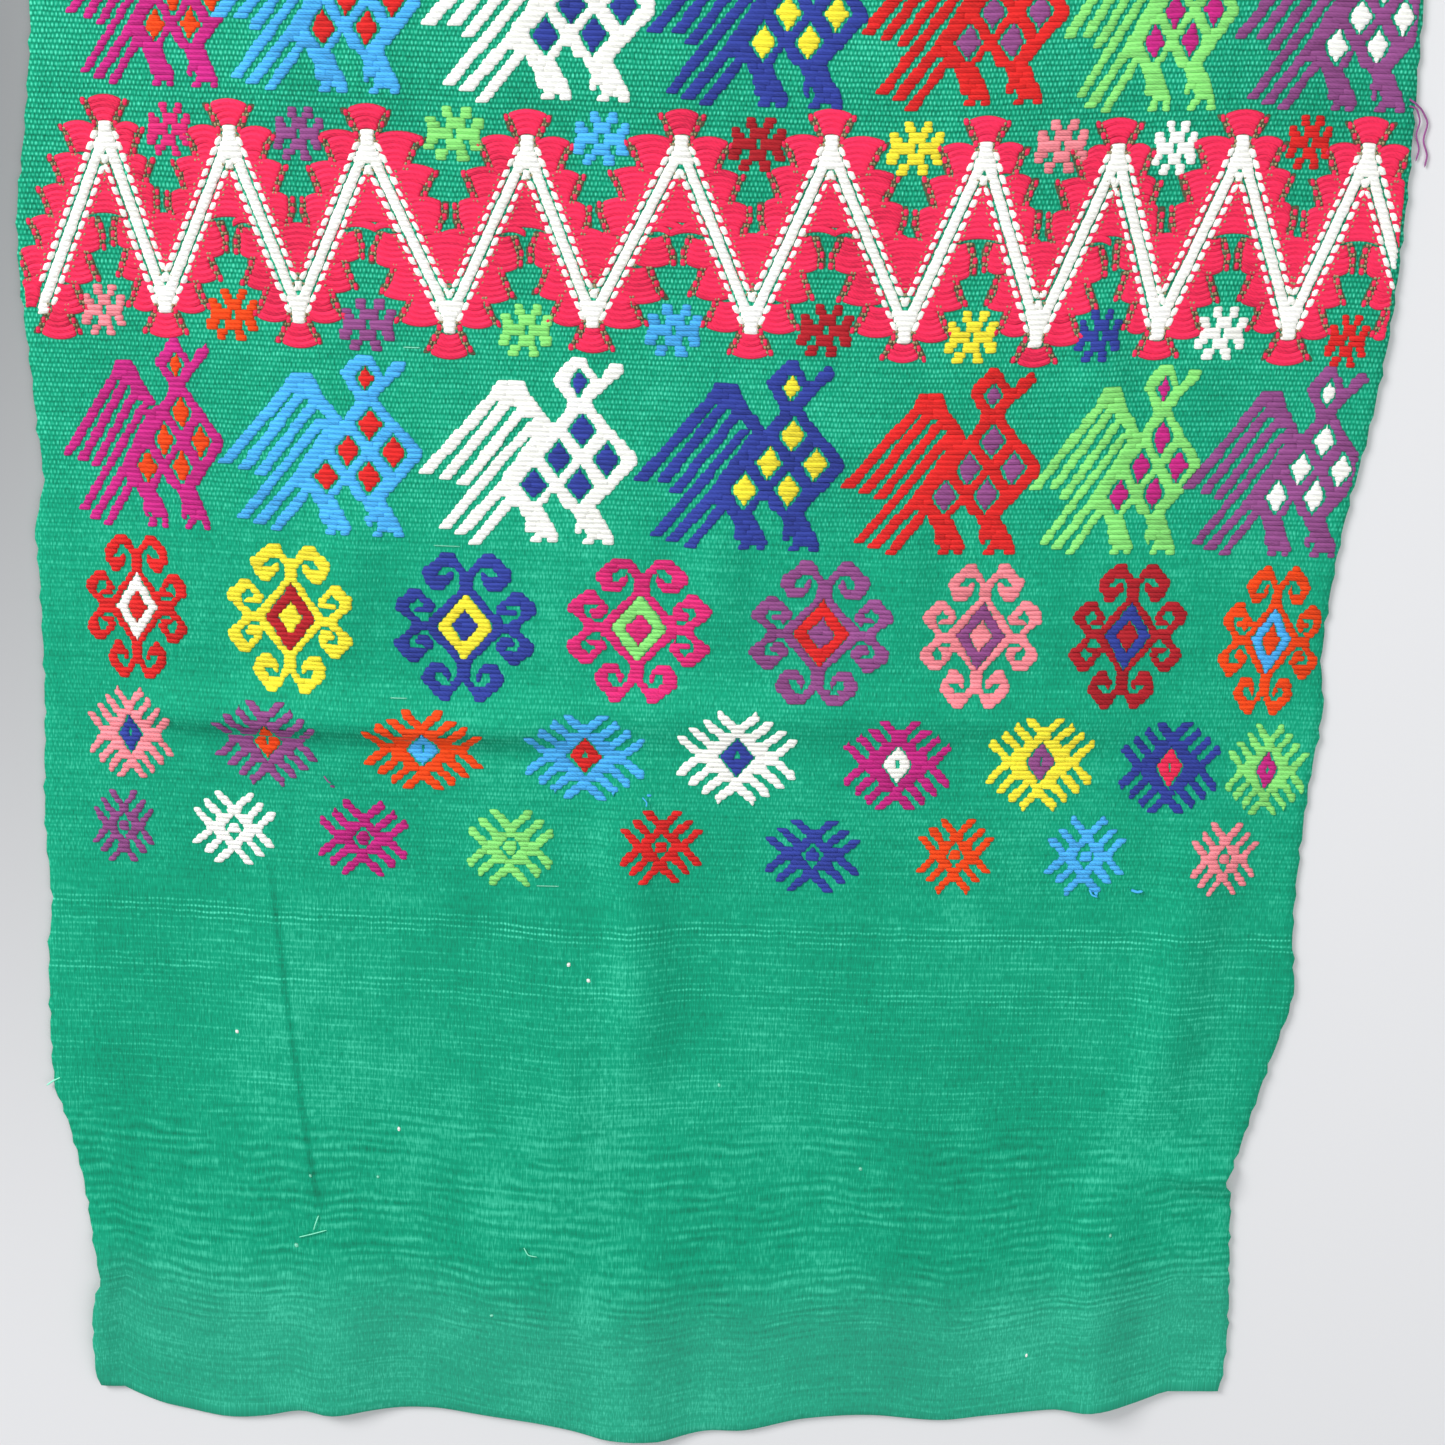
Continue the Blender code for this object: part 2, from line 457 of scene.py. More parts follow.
def bird_chart():
    """A double-legged bird with a raised wing, five diamonds on its body and an open beak."""
    head = [
        (10.4, 56.4), (14.2, 56.4), (17.6, 51.2), (18.4, 50.2), (20.9, 54.6), (24.6, 55.0),
        (25.8, 52.9), (20.3, 47.7), (18.1, 45.2), (16.8, 43.4), (17.5, 41.6), (9.4, 41.6),
        (9.4, 43.4), (8.2, 45.4), (5.3, 49.2), (5.3, 50.6), (8.7, 54.6),
    ]
    body = [
        (10.2, 42.2), (17.5, 42.2), (18.6, 40.4), (30.2, 28.4), (30.2, 25.6), (18.4, 12.2), (9.5, 12.8),
        (6.8, 17.3), (4.5, 13.0), (-6.0, 13.4), (-7.7, 15.4), (-10.9, 16.6), (2.0, 36.2), (5.9, 36.6),
    ]
    wing_front = [
        (-10.1, 49.6), (-3.5, 49.6), (-2.1, 47.9), (-1.0, 45.4), (0.5, 43.2), (3.0, 40.6), (6.3, 36.2),
        (1.2, 36.4), (-2.0, 39.4), (-5.5, 42.2), (-9.1, 44.8), (-12.2, 45.8),
    ]
    shapes = [
        Patch(0, head),
        Patch(0, body),
        Patch(0, wing_front),
        band(0, (-8.0, 47.8), (-30.0, 21.2), 2.3),
        band(0, (-6.0, 44.4), (-24.1, 20.0), 2.15),
        band(0, (-2.6, 41.0), (-19.6, 17.9), 2.05),
        band(0, (0.4, 36.9), (-24.7, 4.6), 2.0),
        band(0, (-8.1, 17.5), (-20.2, 2.8), 2.25),
        band(0, (-4.9, 14.4), (-15.0, 1.1), 2.0),
    ]
    for leg in BIRD_LEGS:
        shapes += [
            band(0, (leg.x - 6.0, 14.6), (leg.x - 1.3, 6.6), leg.thick),
            band(0, (leg.x - 0.9, 6.8), (leg.x + 0.7, 3.3), leg.thick - 0.3),
            band(0, (leg.x - 2.1, 4.0), (leg.x - leg.toe_left, 1.2), 1.8),
            band(0, (leg.x + 2.2, 4.0), (leg.x + leg.toe_right, 1.2), 1.7),
            band(0, (leg.x - leg.spur + 0.3, 8.2), (leg.x - leg.spur + 0.9, 4.4), 1.05),
        ]
    shapes += [diamond(BARE, 12.8, 49.0, 3.0, 4.3), diamond(1, 12.8, 49.0, 2.5, 3.5)]
    for x, y in ((14.2, 35.3), (7.7, 27.0), (21.5, 27.1), (1.0, 18.9), (14.0, 19.3)):
        shapes += [diamond(BARE, x, y, 4.35, 5.6), diamond(1, x, y, 3.7, 4.8)]
    return shapes


# A hook is one strand that curls in; its outline goes round the outside and back inside.
# The low hooks are a little narrower.
LOW_HOOK_WIDTH = 0.93
TOP_HOOK = [
    (0.0, 17.6), (-3.6, 22.7), (-7.4, 22.8), (-12.6, 17.8), (-12.6, 15.6), (-10.1, 11.5), (-6.1, 11.5),
    (-3.6, 14.6), (-3.5, 16.4), (-4.3, 17.1), (-5.8, 16.6), (-6.2, 15.2), (-7.9, 15.2), (-8.4, 16.2),
    (-5.9, 19.0), (-4.7, 19.0), (-3.1, 17.3), (-2.3, 16.0),
]
SIDE_HOOK = [
    (-15.1, 0.0), (-16.0, 1.6), (-19.7, 4.8), (-19.9, 7.1), (-15.7, 11.4), (-12.5, 11.4), (-8.2, 6.2),
    (-8.8, 4.2), (-9.8, 3.5), (-13.6, 3.7), (-14.4, 4.9), (-13.4, 5.5), (-11.9, 5.8), (-11.7, 6.3),
    (-13.2, 8.1), (-15.1, 6.5), (-15.2, 5.0), (-14.1, 3.3), (-12.6, 2.7), (-12.4, 1.3), (-12.4, 0.0),
]


def hooked_diamond_chart():
    """A stepped diamond with a ring and a core, and eight hooks that curl inwards."""
    hooks = [Patch(0, TOP_HOOK), Patch(0, SIDE_HOOK)]
    low_hooks = [Patch(0, [(LOW_HOOK_WIDTH * x, y) for x, y in TOP_HOOK]), Patch(0, SIDE_HOOK)]
    shapes = []
    for across in (1, -1):
        shapes += mirrored(hooks, across, 1) + mirrored(low_hooks, across, -1)
    shapes += [
        block(0, -2.3, 2.3, -17.4, 17.6),
        block(0, -14.8, 14.8, -1.5, 1.5),
        diamond(0, 0.0, 0.1, 12.2, 14.2),
        diamond(1, 0.0, 0.1, 8.0, 10.9),
        diamond(2, 0.0, 0.1, 3.9, 5.3),
    ]
    return shapes


# The slant of a star's rays, and how far they reach into its body
RAY_RISE = (0.625, 0.781)


def rays(tips, width, length):
    """Parallel rays off one side of a star, given by the middles of their round tips."""
    shapes = []
    for x, y in tips:
        root = (x - length * RAY_RISE[0], y - length * RAY_RISE[1])
        for across in (1, -1):
            for up in (1, -1):
                shapes += mirrored([Stroke(0, width, [root, (x, y)])], across, up)
    return shapes


def ray_star_chart():
    """A diamond with four parallel rays off each of its sides and a coloured eye."""
    tips = [(3.6, 12.8), (6.4, 10.4), (9.2, 7.9), (12.0, 5.2)]
    return rays(tips, 2.1, 6.4) + [
        diamond(0, 0.0, 0.0, 9.2, 9.4),
        diamond(BARE, 0.0, 0.0, 3.9, 6.5),
        diamond(1, 0.0, 0.1, 3.5, 5.7),
        diamond(BARE, 0.0, 0.1, 0.6, 1.5),
    ]


def small_star_chart():
    """A ring with three parallel rays off each side and a dot in the middle."""
    tips = [(4.0, 10.9), (6.8, 7.8), (9.5, 5.0)]
    dot = [(0.8, 1.9), (1.6, 0.7), (1.6, -0.7), (0.8, -1.9)]
    dot += [(-x, -y) for x, y in dot]
    return rays(tips, 2.2, 5.4) + [
        diamond(0, 0.0, 0.0, 7.3, 6.9),
        diamond(BARE, 0.0, 0.0, 2.7, 4.1),
        Patch(0, dot),
    ]


# The weft rows of the little star, counted from its middle, with their runs of yarn
StarRow = namedtuple("StarRow", "row runs")

BAND_STAR_ROWS = [
    StarRow(4.5, [(-3.5, -0.9), (1.8, 4.4)]),
    StarRow(3.5, [(-3.3, -0.5), (1.5, 4.2)]),
    StarRow(2.5, [(-7.4, -4.8), (-2.1, 2.8), (5.1, 7.7)]),
    StarRow(1.5, [(-7.2, -3.8), (-2.0, 2.7), (4.4, 7.6)]),
    StarRow(0.5, [(-6.8, -0.6), (0.8, 6.8)]),
    StarRow(-0.5, [(-6.9, -0.6), (0.9, 6.6)]),
    StarRow(-1.5, [(-7.6, -4.2), (-2.1, 2.6), (4.1, 7.4)]),
    StarRow(-2.5, [(-7.8, -5.0), (-2.2, 2.7), (4.7, 7.7)]),
    StarRow(-3.5, [(-4.4, -1.3), (0.8, 3.7)]),
    StarRow(-4.5, [(-4.8, -2.1), (1.1, 4.0)]),
]
STAR_ROW_HEIGHT = 1.5


def band_star_chart():
    """The little eight-armed star that sits between two teeth of the zigzag."""
    shapes = []
    for row, runs in BAND_STAR_ROWS:
        low = (row - 0.5) * STAR_ROW_HEIGHT
        shapes += [block(0, x0, x1, low, low + STAR_ROW_HEIGHT) for x0, x1 in runs]
    return shapes


# Where each figure stands. "from_end" is that of the figure's own origin, "wide" and
# "tall" stretch its drawing, and the yarns are those of its parts 0, 1 and 2.
Figure = namedtuple("Figure", "x from_end wide tall yarns")

# Length on either side over which the selvedges are read for the lean of the warp
LEAN_SPAN = 60.0

# The origin of a bird lies left of its right foot
FOOT_TO_ORIGIN = 23.2

# No chart reaches further from its origin
TALLEST_CHART = 62

UPPER_BIRDS = [
    Figure(-143.2, 429.7, 0.78, 0.97, "magenta orange"),
    Figure(-91.1, 429.5, 0.96, 1.02, "light_blue red"),
    Figure(-25.1, 429.2, 1.07, 1.04, "cream_white navy"),
    Figure(35.8, 429.7, 1.00, 1.02, "navy yellow"),
    Figure(93.4, 431.5, 0.95, 1.01, "red purple"),
    Figure(142.7, 432.8, 0.79, 1.05, "lime magenta"),
    Figure(197.0, 434.2, 0.89, 1.01, "purple cream_white"),
]

LOWER_BIRDS = [
    Figure(-147.9, 301.8, 0.78, 1.01, "magenta orange"),
    Figure(-90.3, 301.0, 0.98, 0.99, "light_blue red"),
    Figure(-27.0, 300.2, 1.05, 1.02, "cream_white navy"),
    Figure(34.7, 300.5, 1.00, 1.03, "navy yellow"),
    Figure(93.3, 301.2, 0.95, 1.00, "red purple"),
    Figure(141.5, 302.8, 0.80, 1.04, "lime magenta"),
    Figure(189.9, 303.9, 0.86, 1.04, "purple cream_white"),
]

HOOKED_DIAMONDS = [
    Figure(-169.7, 277.8, 0.78, 0.98, "red cream_white red"),
    Figure(-123.2, 275.8, 0.97, 0.99, "yellow dark_red yellow"),
    Figure(-70.1, 275.1, 1.09, 0.98, "navy yellow navy"),
    Figure(-17.3, 276.3, 1.11, 0.97, "hot_pink lime hot_pink"),
    Figure(38.0, 276.5, 1.09, 0.97, "purple red purple"),
    Figure(86.4, 277.7, 0.92, 0.96, "salmon_pink purple salmon_pink"),
    Figure(130.9, 279.4, 0.87, 0.97, "dark_red navy dark_red"),
    Figure(174.4, 279.4, 0.77, 0.99, "orange light_blue orange"),
]

RAY_STARS = [
    Figure(-172.8, 237.8, 0.98, 1.05, "salmon_pink navy"),
    Figure(-130.8, 236.9, 1.20, 0.98, "purple orange"),
    Figure(-82.8, 236.0, 1.40, 0.96, "orange light_blue"),
    Figure(-32.9, 235.6, 1.42, 1.02, "light_blue red"),
    Figure(13.8, 237.0, 1.42, 1.06, "cream_white navy"),
    Figure(63.3, 236.3, 1.27, 1.08, "magenta cream_white"),
    Figure(107.3, 238.8, 1.25, 1.10, "yellow purple"),
    Figure(147.0, 238.5, 1.17, 1.10, "navy crimson"),
    Figure(176.9, 238.6, 0.94, 1.06, "lime magenta"),
]

SMALL_STARS = [
    Figure(-175.9, 207.9, 0.90, 1.01, "purple"),
    Figure(-141.5, 208.4, 1.19, 0.99, "cream_white"),
    Figure(-101.4, 206.5, 1.32, 1.00, "magenta"),
    Figure(-55.6, 205.3, 1.28, 1.03, "lime"),
    Figure(-8.7, 207.5, 1.19, 1.00, "red"),
    Figure(38.4, 206.1, 1.39, 1.00, "navy"),
    Figure(82.7, 207.6, 1.08, 1.02, "orange"),
    Figure(123.2, 208.9, 1.14, 1.05, "light_blue"),
    Figure(166.1, 209.8, 0.98, 0.97, "salmon_pink"),
]

BAND_STARS = [
    Figure(-156.4, 419.6, 0.82, 1.00, "hot_pink"),
    Figure(-119.1, 419.7, 0.92, 1.00, "purple"),
    Figure(-74.2, 420.0, 1.10, 1.00, "lime"),
    Figure(-31.8, 420.5, 1.05, 1.00, "light_blue"),
    Figure(13.3, 420.5, 1.05, 1.00, "dark_red"),
    Figure(58.9, 421.2, 1.05, 1.00, "yellow"),
    Figure(100.9, 422.7, 0.98, 1.00, "salmon_pink"),
    Figure(133.5, 423.7, 0.80, 1.00, "cream_white"),
    Figure(171.9, 425.9, 0.82, 1.00, "red"),
    Figure(-176.9, 366.8, 0.80, 1.00, "salmon_pink"),
    Figure(-139.1, 366.4, 0.95, 1.00, "orange"),
    Figure(-99.3, 365.7, 1.06, 1.00, "purple"),
    Figure(-52.7, 365.4, 1.00, 1.00, "lime"),
    Figure(-9.3, 366.9, 1.08, 1.00, "light_blue"),
    Figure(35.2, 367.6, 1.04, 1.00, "dark_red"),
    Figure(78.2, 367.1, 0.97, 1.00, "yellow"),
    Figure(115.3, 369.8, 0.84, 1.00, "navy"),
    Figure(151.3, 370.7, 0.94, 1.00, "cream_white"),
    Figure(188.3, 370.5, 0.77, 1.00, "red"),
]

# Tops and bottoms of the zigzag's teeth, from left to right
Tooth = namedtuple("Tooth", "x from_end")

PEAKS = [
    Tooth(-174.9, 419.8),
    Tooth(-139.1, 419.2),
    Tooth(-99.3, 419.1),
    Tooth(-53.1, 419.3),
    Tooth(-8.6, 421.1),
    Tooth(34.6, 422.3),
    Tooth(79.2, 422.5),
    Tooth(117.2, 423.1),
    Tooth(152.7, 426.0),
    Tooth(189.1, 425.3),
]

VALLEYS = [
    Tooth(-194.4, 365.9),
    Tooth(-158.8, 367.5),
    Tooth(-119.6, 366.2),
    Tooth(-75.2, 365.3),
    Tooth(-33.3, 367.0),
    Tooth(13.3, 367.3),
    Tooth(58.4, 367.1),
    Tooth(97.0, 367.8),
    Tooth(132.6, 370.9),
    Tooth(170.9, 371.7),
    Tooth(207.5, 371.5),
]

# The bell that hangs at the first foot stands off it
VALLEY_CAPS = [Tooth(-190.2, 366.6)] + VALLEYS[1:]

# A tooth of the zigzag, and the length over which its tip is blunt
TOOTH_HEIGHT = 55.0
USUAL_HALF_TOOTH = 20.5
BLUNT = 2.4

# The white core of a leg with the bare line beside it, and its solid tips: how deep they
# go, how far they stand over the tooth, how far they pass the leg's middle, and how they
# widen from their top. Two legs join where their cores come near to each other, and very
# short rows of core are left out.
CORE_HALF = 1.6
CORE_OUTLINE = 0.35
CORE_JOINS = 0.3
SHORTEST_CORE = 1.0
SOLID_TIP = 7.2
TIP_OVER = 1.0
TIP_CORE = 2.05
TIP_HALF = 1.8
TIP_SLOPE = 0.5

# The white beads beside the core, and the depths at which they start on both sides
BEAD_OFFSET = 3.0
BEAD_WIDTH = 1.95
BEAD_HEIGHT = 2.75
BEAD_PITCH = 3.15
BEAD_PUFF = 0.95
OUTER_BEADS_FROM = 3.0
INNER_BEADS_FROM = 9.9

# Crimson that fills a tooth between its legs, where no bell is
FILL_START = 2.0
FILL_TOP = 12.2
FILL_BOTTOM = 27.4

# A crimson bell reaches from "start" to "top_reach" at its top and "bottom_reach" at its
# bottom, all measured from the leg's middle line, in a tooth of the usual half width
Bell = namedtuple("Bell", "top bottom top_reach bottom_reach start")

BELLS = [
    Bell(0.7, 9.0, 13.2, 6.2, 2.0),
    Bell(9.5, 18.5, 13.7, 6.2, 2.0),
    Bell(18.8, 27.6, 13.7, 6.2, 2.0),
]

# A bell stops this far from the middle between two legs, with a strip of painted shade beside it
ROOM_BETWEEN = 2.4
SHADE_STRIP_WIDTH = 2.1

# Outside the first leg the bells go on down to its foot
FIRST_LEG_BELLS = BELLS + [
    Bell(28.1, 36.8, 13.2, 6.0, 2.0),
    Bell(37.5, 46.3, 13.2, 6.0, 2.0),
    Bell(47.0, 54.8, 13.2, 6.0, 2.0),
]

# The small bell on a peak or under a valley, how far rows of crimson arch, and how a
# bell's edge bends
CAP = Bell(-7.0, -0.2, 5.6, 2.0, 0.0)
BELL_BOW = 1.1
BELL_CURVE = 0.85
FILL_BOW = 1.5

# The curls that a bell's yarn makes round the warp along its slanting edge, and the
# pale ties between them
CURL_DEPTHS = (0.7, 3.7, 6.7)
CURL_ASIDE = 1.0
CURL_WIDTH = 1.45
CURL_HEIGHT = 2.1
CURL_LEAN = 0.2
CURL_PUFF = 0.6
TIE_WIDTH = 0.85
TIE_HEIGHT = 0.9
TIE_PUFF = 0.8

EdgeTie = namedtuple("EdgeTie", "aside lower")

EDGE_TIES = [
    EdgeTie(0.1, 0.1),
    EdgeTie(0.25, 1.6),
    EdgeTie(1.15, 1.65),
]

# Ties in the crimson beside the beads: distance from the leg's middle, and where they
# start below the first bead
BEAD_TIES = [
    EdgeTie(4.25, 1.55),
    EdgeTie(4.75, 0.0),
]

# Which figures make one piece of the model
PIECES = [
    "upper_birds",
    "zigzag_bells",
    "zigzag_line",
    "band_stars",
    "lower_birds",
    "hooked_diamonds",
    "ray_stars",
    "small_ray_stars",
    "slubs_and_neps",
]
PIECE_NUMBER = {name: number for number, name in enumerate(PIECES)}

# Floats of brocade yarn: the longest before one is tied down, how the ties of neighbouring
# rows stand apart, and the gap at a float's end beside bare cloth or another colour
LONGEST_FLOAT = 7.5
LONGEST_BELL_FLOAT = 17.0
SPLIT_STAGGER = 0.2
JOINT_LAP = 0.3
BARE_GAP = 0.16
COLOUR_GAP = 0.05

# How much fuller than their charts some figures lie, beside bare cloth
FULLER_BY = {
    "hooked_diamonds": -0.04,
    "ray_stars": 0.22,
    "small_ray_stars": 0.14,
    "band_stars": 0.27,
    "lower_birds": 0.04,
    "upper_birds": 0.04,
}

# How tall floats are beside the pitch of the rows, and how high they stand off the cloth
FLOAT_LAP = 1.12
BELL_LAP = 1.35
CORE_LAP = 1.35
FLOAT_PUFF = 0.6
SHADE_STRIP_PUFF = 0.22
CORE_PUFF = 0.85

# How the end of a float leans towards the ends of the rows beside it
EDGE_REACH = 2.7
MOST_LEAN = 1.3
LEAN_SHARE = 0.55

Run = namedtuple("Run", "x0 x1 yarn piece bow")
Float = namedtuple("Float", "x0 x1 weft tall puff bow lean lean_end yarn")

# Cross-section of a float, in row heights: it laps over its neighbours
AcrossPoint = namedtuple("AcrossPoint", "place rise")

STRANDS = [
    AcrossPoint(-0.55, -0.05),
    AcrossPoint(-0.37, 0.76),
    AcrossPoint(0.00, 1.00),
    AcrossPoint(0.37, 0.76),
    AcrossPoint(0.55, -0.05),
]

# Stations along a float: its ends dip under the warp over a short length
AlongPoint = namedtuple("AlongPoint", "dips middle rise spread")

SHORT_FLOAT = [
    AlongPoint(0.0, 0.0, 0.02, 0.52),
    AlongPoint(0.40, 0.0, 0.76, 0.88),
    AlongPoint(1.0, 0.5, 1.06, 1.00),
    AlongPoint(1.60, 1.0, 0.76, 0.88),
    AlongPoint(2.0, 1.0, 0.02, 0.52),
]


def long_float(steps):
    """Stations of a long float, with its middle part in equal steps."""
    middle = [AlongPoint(1.0, step / steps, 1.04, 1.00) for step in range(steps + 1)]
    start = [AlongPoint(0.0, 0.0, 0.02, 0.58), AlongPoint(0.35, 0.0, 0.72, 0.90)]
    end = [AlongPoint(1.65, 1.0, 0.72, 0.90), AlongPoint(2.0, 1.0, 0.02, 0.58)]
    return start + middle + end


# Floats under a length take the short pattern, and those that bow the arched one
FLOAT_SHAPES = {"short": SHORT_FLOAT, "long": long_float(2), "arched": long_float(6)}
SHORT_UNDER = 3.0

# Length over which a float's end dips, with the most that it takes of a short float, and
# the length from which a float arches in full
DIP_LENGTH = 0.75
DIP_SHARE = 0.4
FULL_ARCH = 6.5

# How far chance moves the ends, the middle and the tilt of a float and changes its size
END_CHANCE = 0.14
PLACE_CHANCE = 0.09
FLOAT_TILT = 0.24
TALL_CHANCE = 0.06
PUFF_CHANCE = 0.12
YARN_REPEAT = 40

# Wide patches of painted light and shade on the yarn: two waves, one times the other
PATCH_SHADE = 0.4
PATCH_WAVES = [
    Wave(0.09, 0.031, 1.0, 1.0),
    Wave(-0.023, 0.055, 0.0, 1.0),
]

# Single threads that show on the green cloth: weft slubs, neps and the odd stray stitch
Slub = namedtuple("Slub", "x from_end length thick yarn")
SLUB_PUFF = 0.3

SLUBS = [
    Slub(-75.8, 299.8, 8.0, 0.3, "pale_green"),
    Slub(-43.8, 193.0, 7.0, 0.3, "pale_green"),
    Slub(-90.1, 252.5, 5.0, 0.3, "pale_green"),
    Slub(-86.4, 358.8, 5.0, 0.35, "pale_green"),
    Slub(-36.8, 167.4, 1.0, 1.3, "cream_white"),
    Slub(-30.4, 162.2, 1.0, 1.2, "cream_white"),
    Slub(-123.7, 66.8, 1.1, 1.5, "pale_green"),
    Slub(-90.3, 108.8, 0.9, 1.4, "cream_white"),
    Slub(-118.8, 91.9, 0.8, 1.0, "pale_green"),
    Slub(-97.1, 92.0, 0.8, 1.0, "pale_green"),
    Slub(-110.9, 223.0, 1.4, 0.8, "purple"),
    Slub(-12.9, 223.7, 1.2, 0.8, "light_blue"),
    Slub(-141.9, 140.7, 1.1, 1.2, "cream_white"),
    Slub(116.4, 35.7, 1.0, 1.2, "cream_white"),
    Slub(58.5, 100.8, 1.0, 1.2, "pale_green"),
    Slub(12.0, 128.0, 0.9, 1.0, "pale_green"),
    Slub(-60.0, 44.0, 1.0, 0.9, "pale_green"),
    Slub(140.0, 82.0, 0.9, 1.1, "pale_green"),
]


# Painting weft rows

def level_span(shape_points, y):
    """Pairs of places where a level line enters and leaves an outline."""
    crossings = []
    previous = shape_points[-1]
    for point in shape_points:
        (x0, y0), (x1, y1) = previous, point
        if (y0 <= y) != (y1 <= y):
            crossings.append(x0 + (x1 - x0) * (y - y0) / (y1 - y0))
        previous = point
    crossings.sort()
    return list(zip(crossings[::2], crossings[1::2]))


def stroke_spans(stroke, y):
    """Where a level line crosses a round-ended stroke, one span for each straight run."""
    radius = stroke.width / 2
    spans = []
    for (x0, y0), (x1, y1) in zip(stroke.points, stroke.points[1:]):
        ends = []
        for cx, cy in ((x0, y0), (x1, y1)):
            if abs(y - cy) < radius:
                half = math.sqrt(radius**2 - (y - cy) ** 2)
                ends += [cx - half, cx + half]
        run = math.hypot(x1 - x0, y1 - y0)
        side_x = -(y1 - y0) / run * radius
        side_y = (x1 - x0) / run * radius
        corners = [
            (x0 + side_x, y0 + side_y), (x1 + side_x, y1 + side_y),
            (x1 - side_x, y1 - side_y), (x0 - side_x, y0 - side_y),
        ]
        for low, high in level_span(corners, y):
            ends += [low, high]
        if ends:
            spans.append((min(ends), max(ends)))
    return spans


class WeftRow:
    """One row of the weave: the yarn that each warp end carries on the face of the cloth."""

    def __init__(self, weft, pitch):
        self.weft = weft
        self.pitch = pitch
        ends = math.ceil(WIDTH / END_PITCH)
        self.yarn = np.full(ends, BARE, dtype=int)
        self.piece = np.zeros(ends, dtype=int)
        self.bow = np.zeros(ends)

    def ends_between(self, *places):
        """The warp ends between two places, given in any order."""
        low, high = sorted(places)
        first = max(0, round((low + WIDTH / 2) / END_PITCH))
        return slice(first, max(first, round((high + WIDTH / 2) / END_PITCH)))

    def paint(self, x0, x1, yarn, piece, bow=0.0):
        """Lay a yarn over the warp ends between two places."""
        ends = self.ends_between(x0, x1)
        self.yarn[ends] = yarn
        self.piece[ends] = piece
        self.bow[ends] = bow

    def paint_bare(self, x0, x1, yarn, piece):
        """Lay a yarn only where no other lies yet."""
        ends = self.ends_between(x0, x1)
        bare = self.yarn[ends] == BARE
        self.yarn[ends][bare] = yarn
        self.piece[ends][bare] = piece

    def trim_to_cloth(self):
        """Leave the warp ends beside the selvedges bare."""
        left = left_edge(self.weft) + SELVEDGE_MARGIN
        right = right_edge(self.weft + weft_drift(RIGHT_SIDE, self.weft)) - SELVEDGE_MARGIN
        self.yarn[: round((left + WIDTH / 2) / END_PITCH)] = BARE
        self.yarn[round((right + WIDTH / 2) / END_PITCH):] = BARE

    def runs(self):
        """Neighbouring ends under one yarn."""
        change = (np.diff(self.yarn) != 0) | (np.diff(self.piece) != 0) | (np.abs(np.diff(self.bow)) > 0.01)
        bounds = [0, *(np.flatnonzero(change) + 1), len(self.yarn)]
        for first, last in zip(bounds, bounds[1:]):
            if self.yarn[first] != BARE:
                name = PIECES[self.piece[first]]
                x0 = first * END_PITCH - WIDTH / 2 + self.gap_to(first - 1, name)
                x1 = last * END_PITCH - WIDTH / 2 - self.gap_to(last, name)
                yield Run(x0, x1, self.yarn[first], self.piece[first], self.bow[first])

    def gap_to(self, neighbour, name):
        """How far a float of a piece stops short of its last end: more beside bare cloth."""
        if self.yarn[neighbour] != BARE:
            return COLOUR_GAP
        return BARE_GAP - FULLER_BY.get(name, 0.0)


def by_right_foot(figures):
    """Move birds, which are placed by their right foot, to the origin of their drawing."""
    return [bird._replace(x=bird.x - FOOT_TO_ORIGIN * bird.wide) for bird in figures]


def warp_lean(x, from_end):
    """How far a warp end goes to the right per millimetre up, between the two selvedges."""
    left, right = left_edge(from_end), right_edge(from_end)
    above, below = from_end + LEAN_SPAN, from_end - LEAN_SPAN
    left_lean = (left_edge(above) - left_edge(below)) / (2 * LEAN_SPAN)
    right_lean = (right_edge(above) - right_edge(below)) / (2 * LEAN_SPAN)
    return left_lean + (right_lean - left_lean) * (x - left) / (right - left)


def paint_figures(row, figures, chart, piece):
    """Paint the part of each figure that this row crosses."""
    for figure in figures:
        y = (row.weft + float(weft_drift(figure.x, row.weft)) - figure.from_end) / figure.tall
        if abs(y) > TALLEST_CHART:
            continue
        yarns = figure.yarns.split()
        origin = figure.x + warp_lean(figure.x, figure.from_end) * y * figure.tall
        for shape in chart:
            if isinstance(shape, Stroke):
                spans = stroke_spans(shape, y)
            else:
                spans = level_span(shape.points, y)
            yarn = BARE if shape.part == BARE else YARN_NUMBER[yarns[shape.part]]
            for low, high in spans:
                row.paint(origin + low * figure.wide, origin + high * figure.wide, yarn, piece)


def bell_reach(bell, down):
    """How far a bell reaches from the leg's middle line at a depth below the peak."""
    share = min(1.0, max(0.0, (down - bell.top) / (bell.bottom - bell.top)))
    return bell.top_reach + (bell.bottom_reach - bell.top_reach) * share**BELL_CURVE


def bell_bow(bell, down):
    """How far a row of a bell arches: most at its wide end."""
    return BELL_BOW * (1.3 - 0.6 * (down - bell.top) / (bell.bottom - bell.top))


def paint_bell(row, start, end, side, bow):
    """One row of a bell, from the white line outwards, and the strip of painted shade round its curls."""
    piece = PIECE_NUMBER["zigzag_bells"]
    row.paint_bare(end, end + side * SHADE_STRIP_WIDTH, YARN_NUMBER["curl_shade_strip"], piece)
    row.paint(start, end, YARN_NUMBER["crimson"], piece, bow)


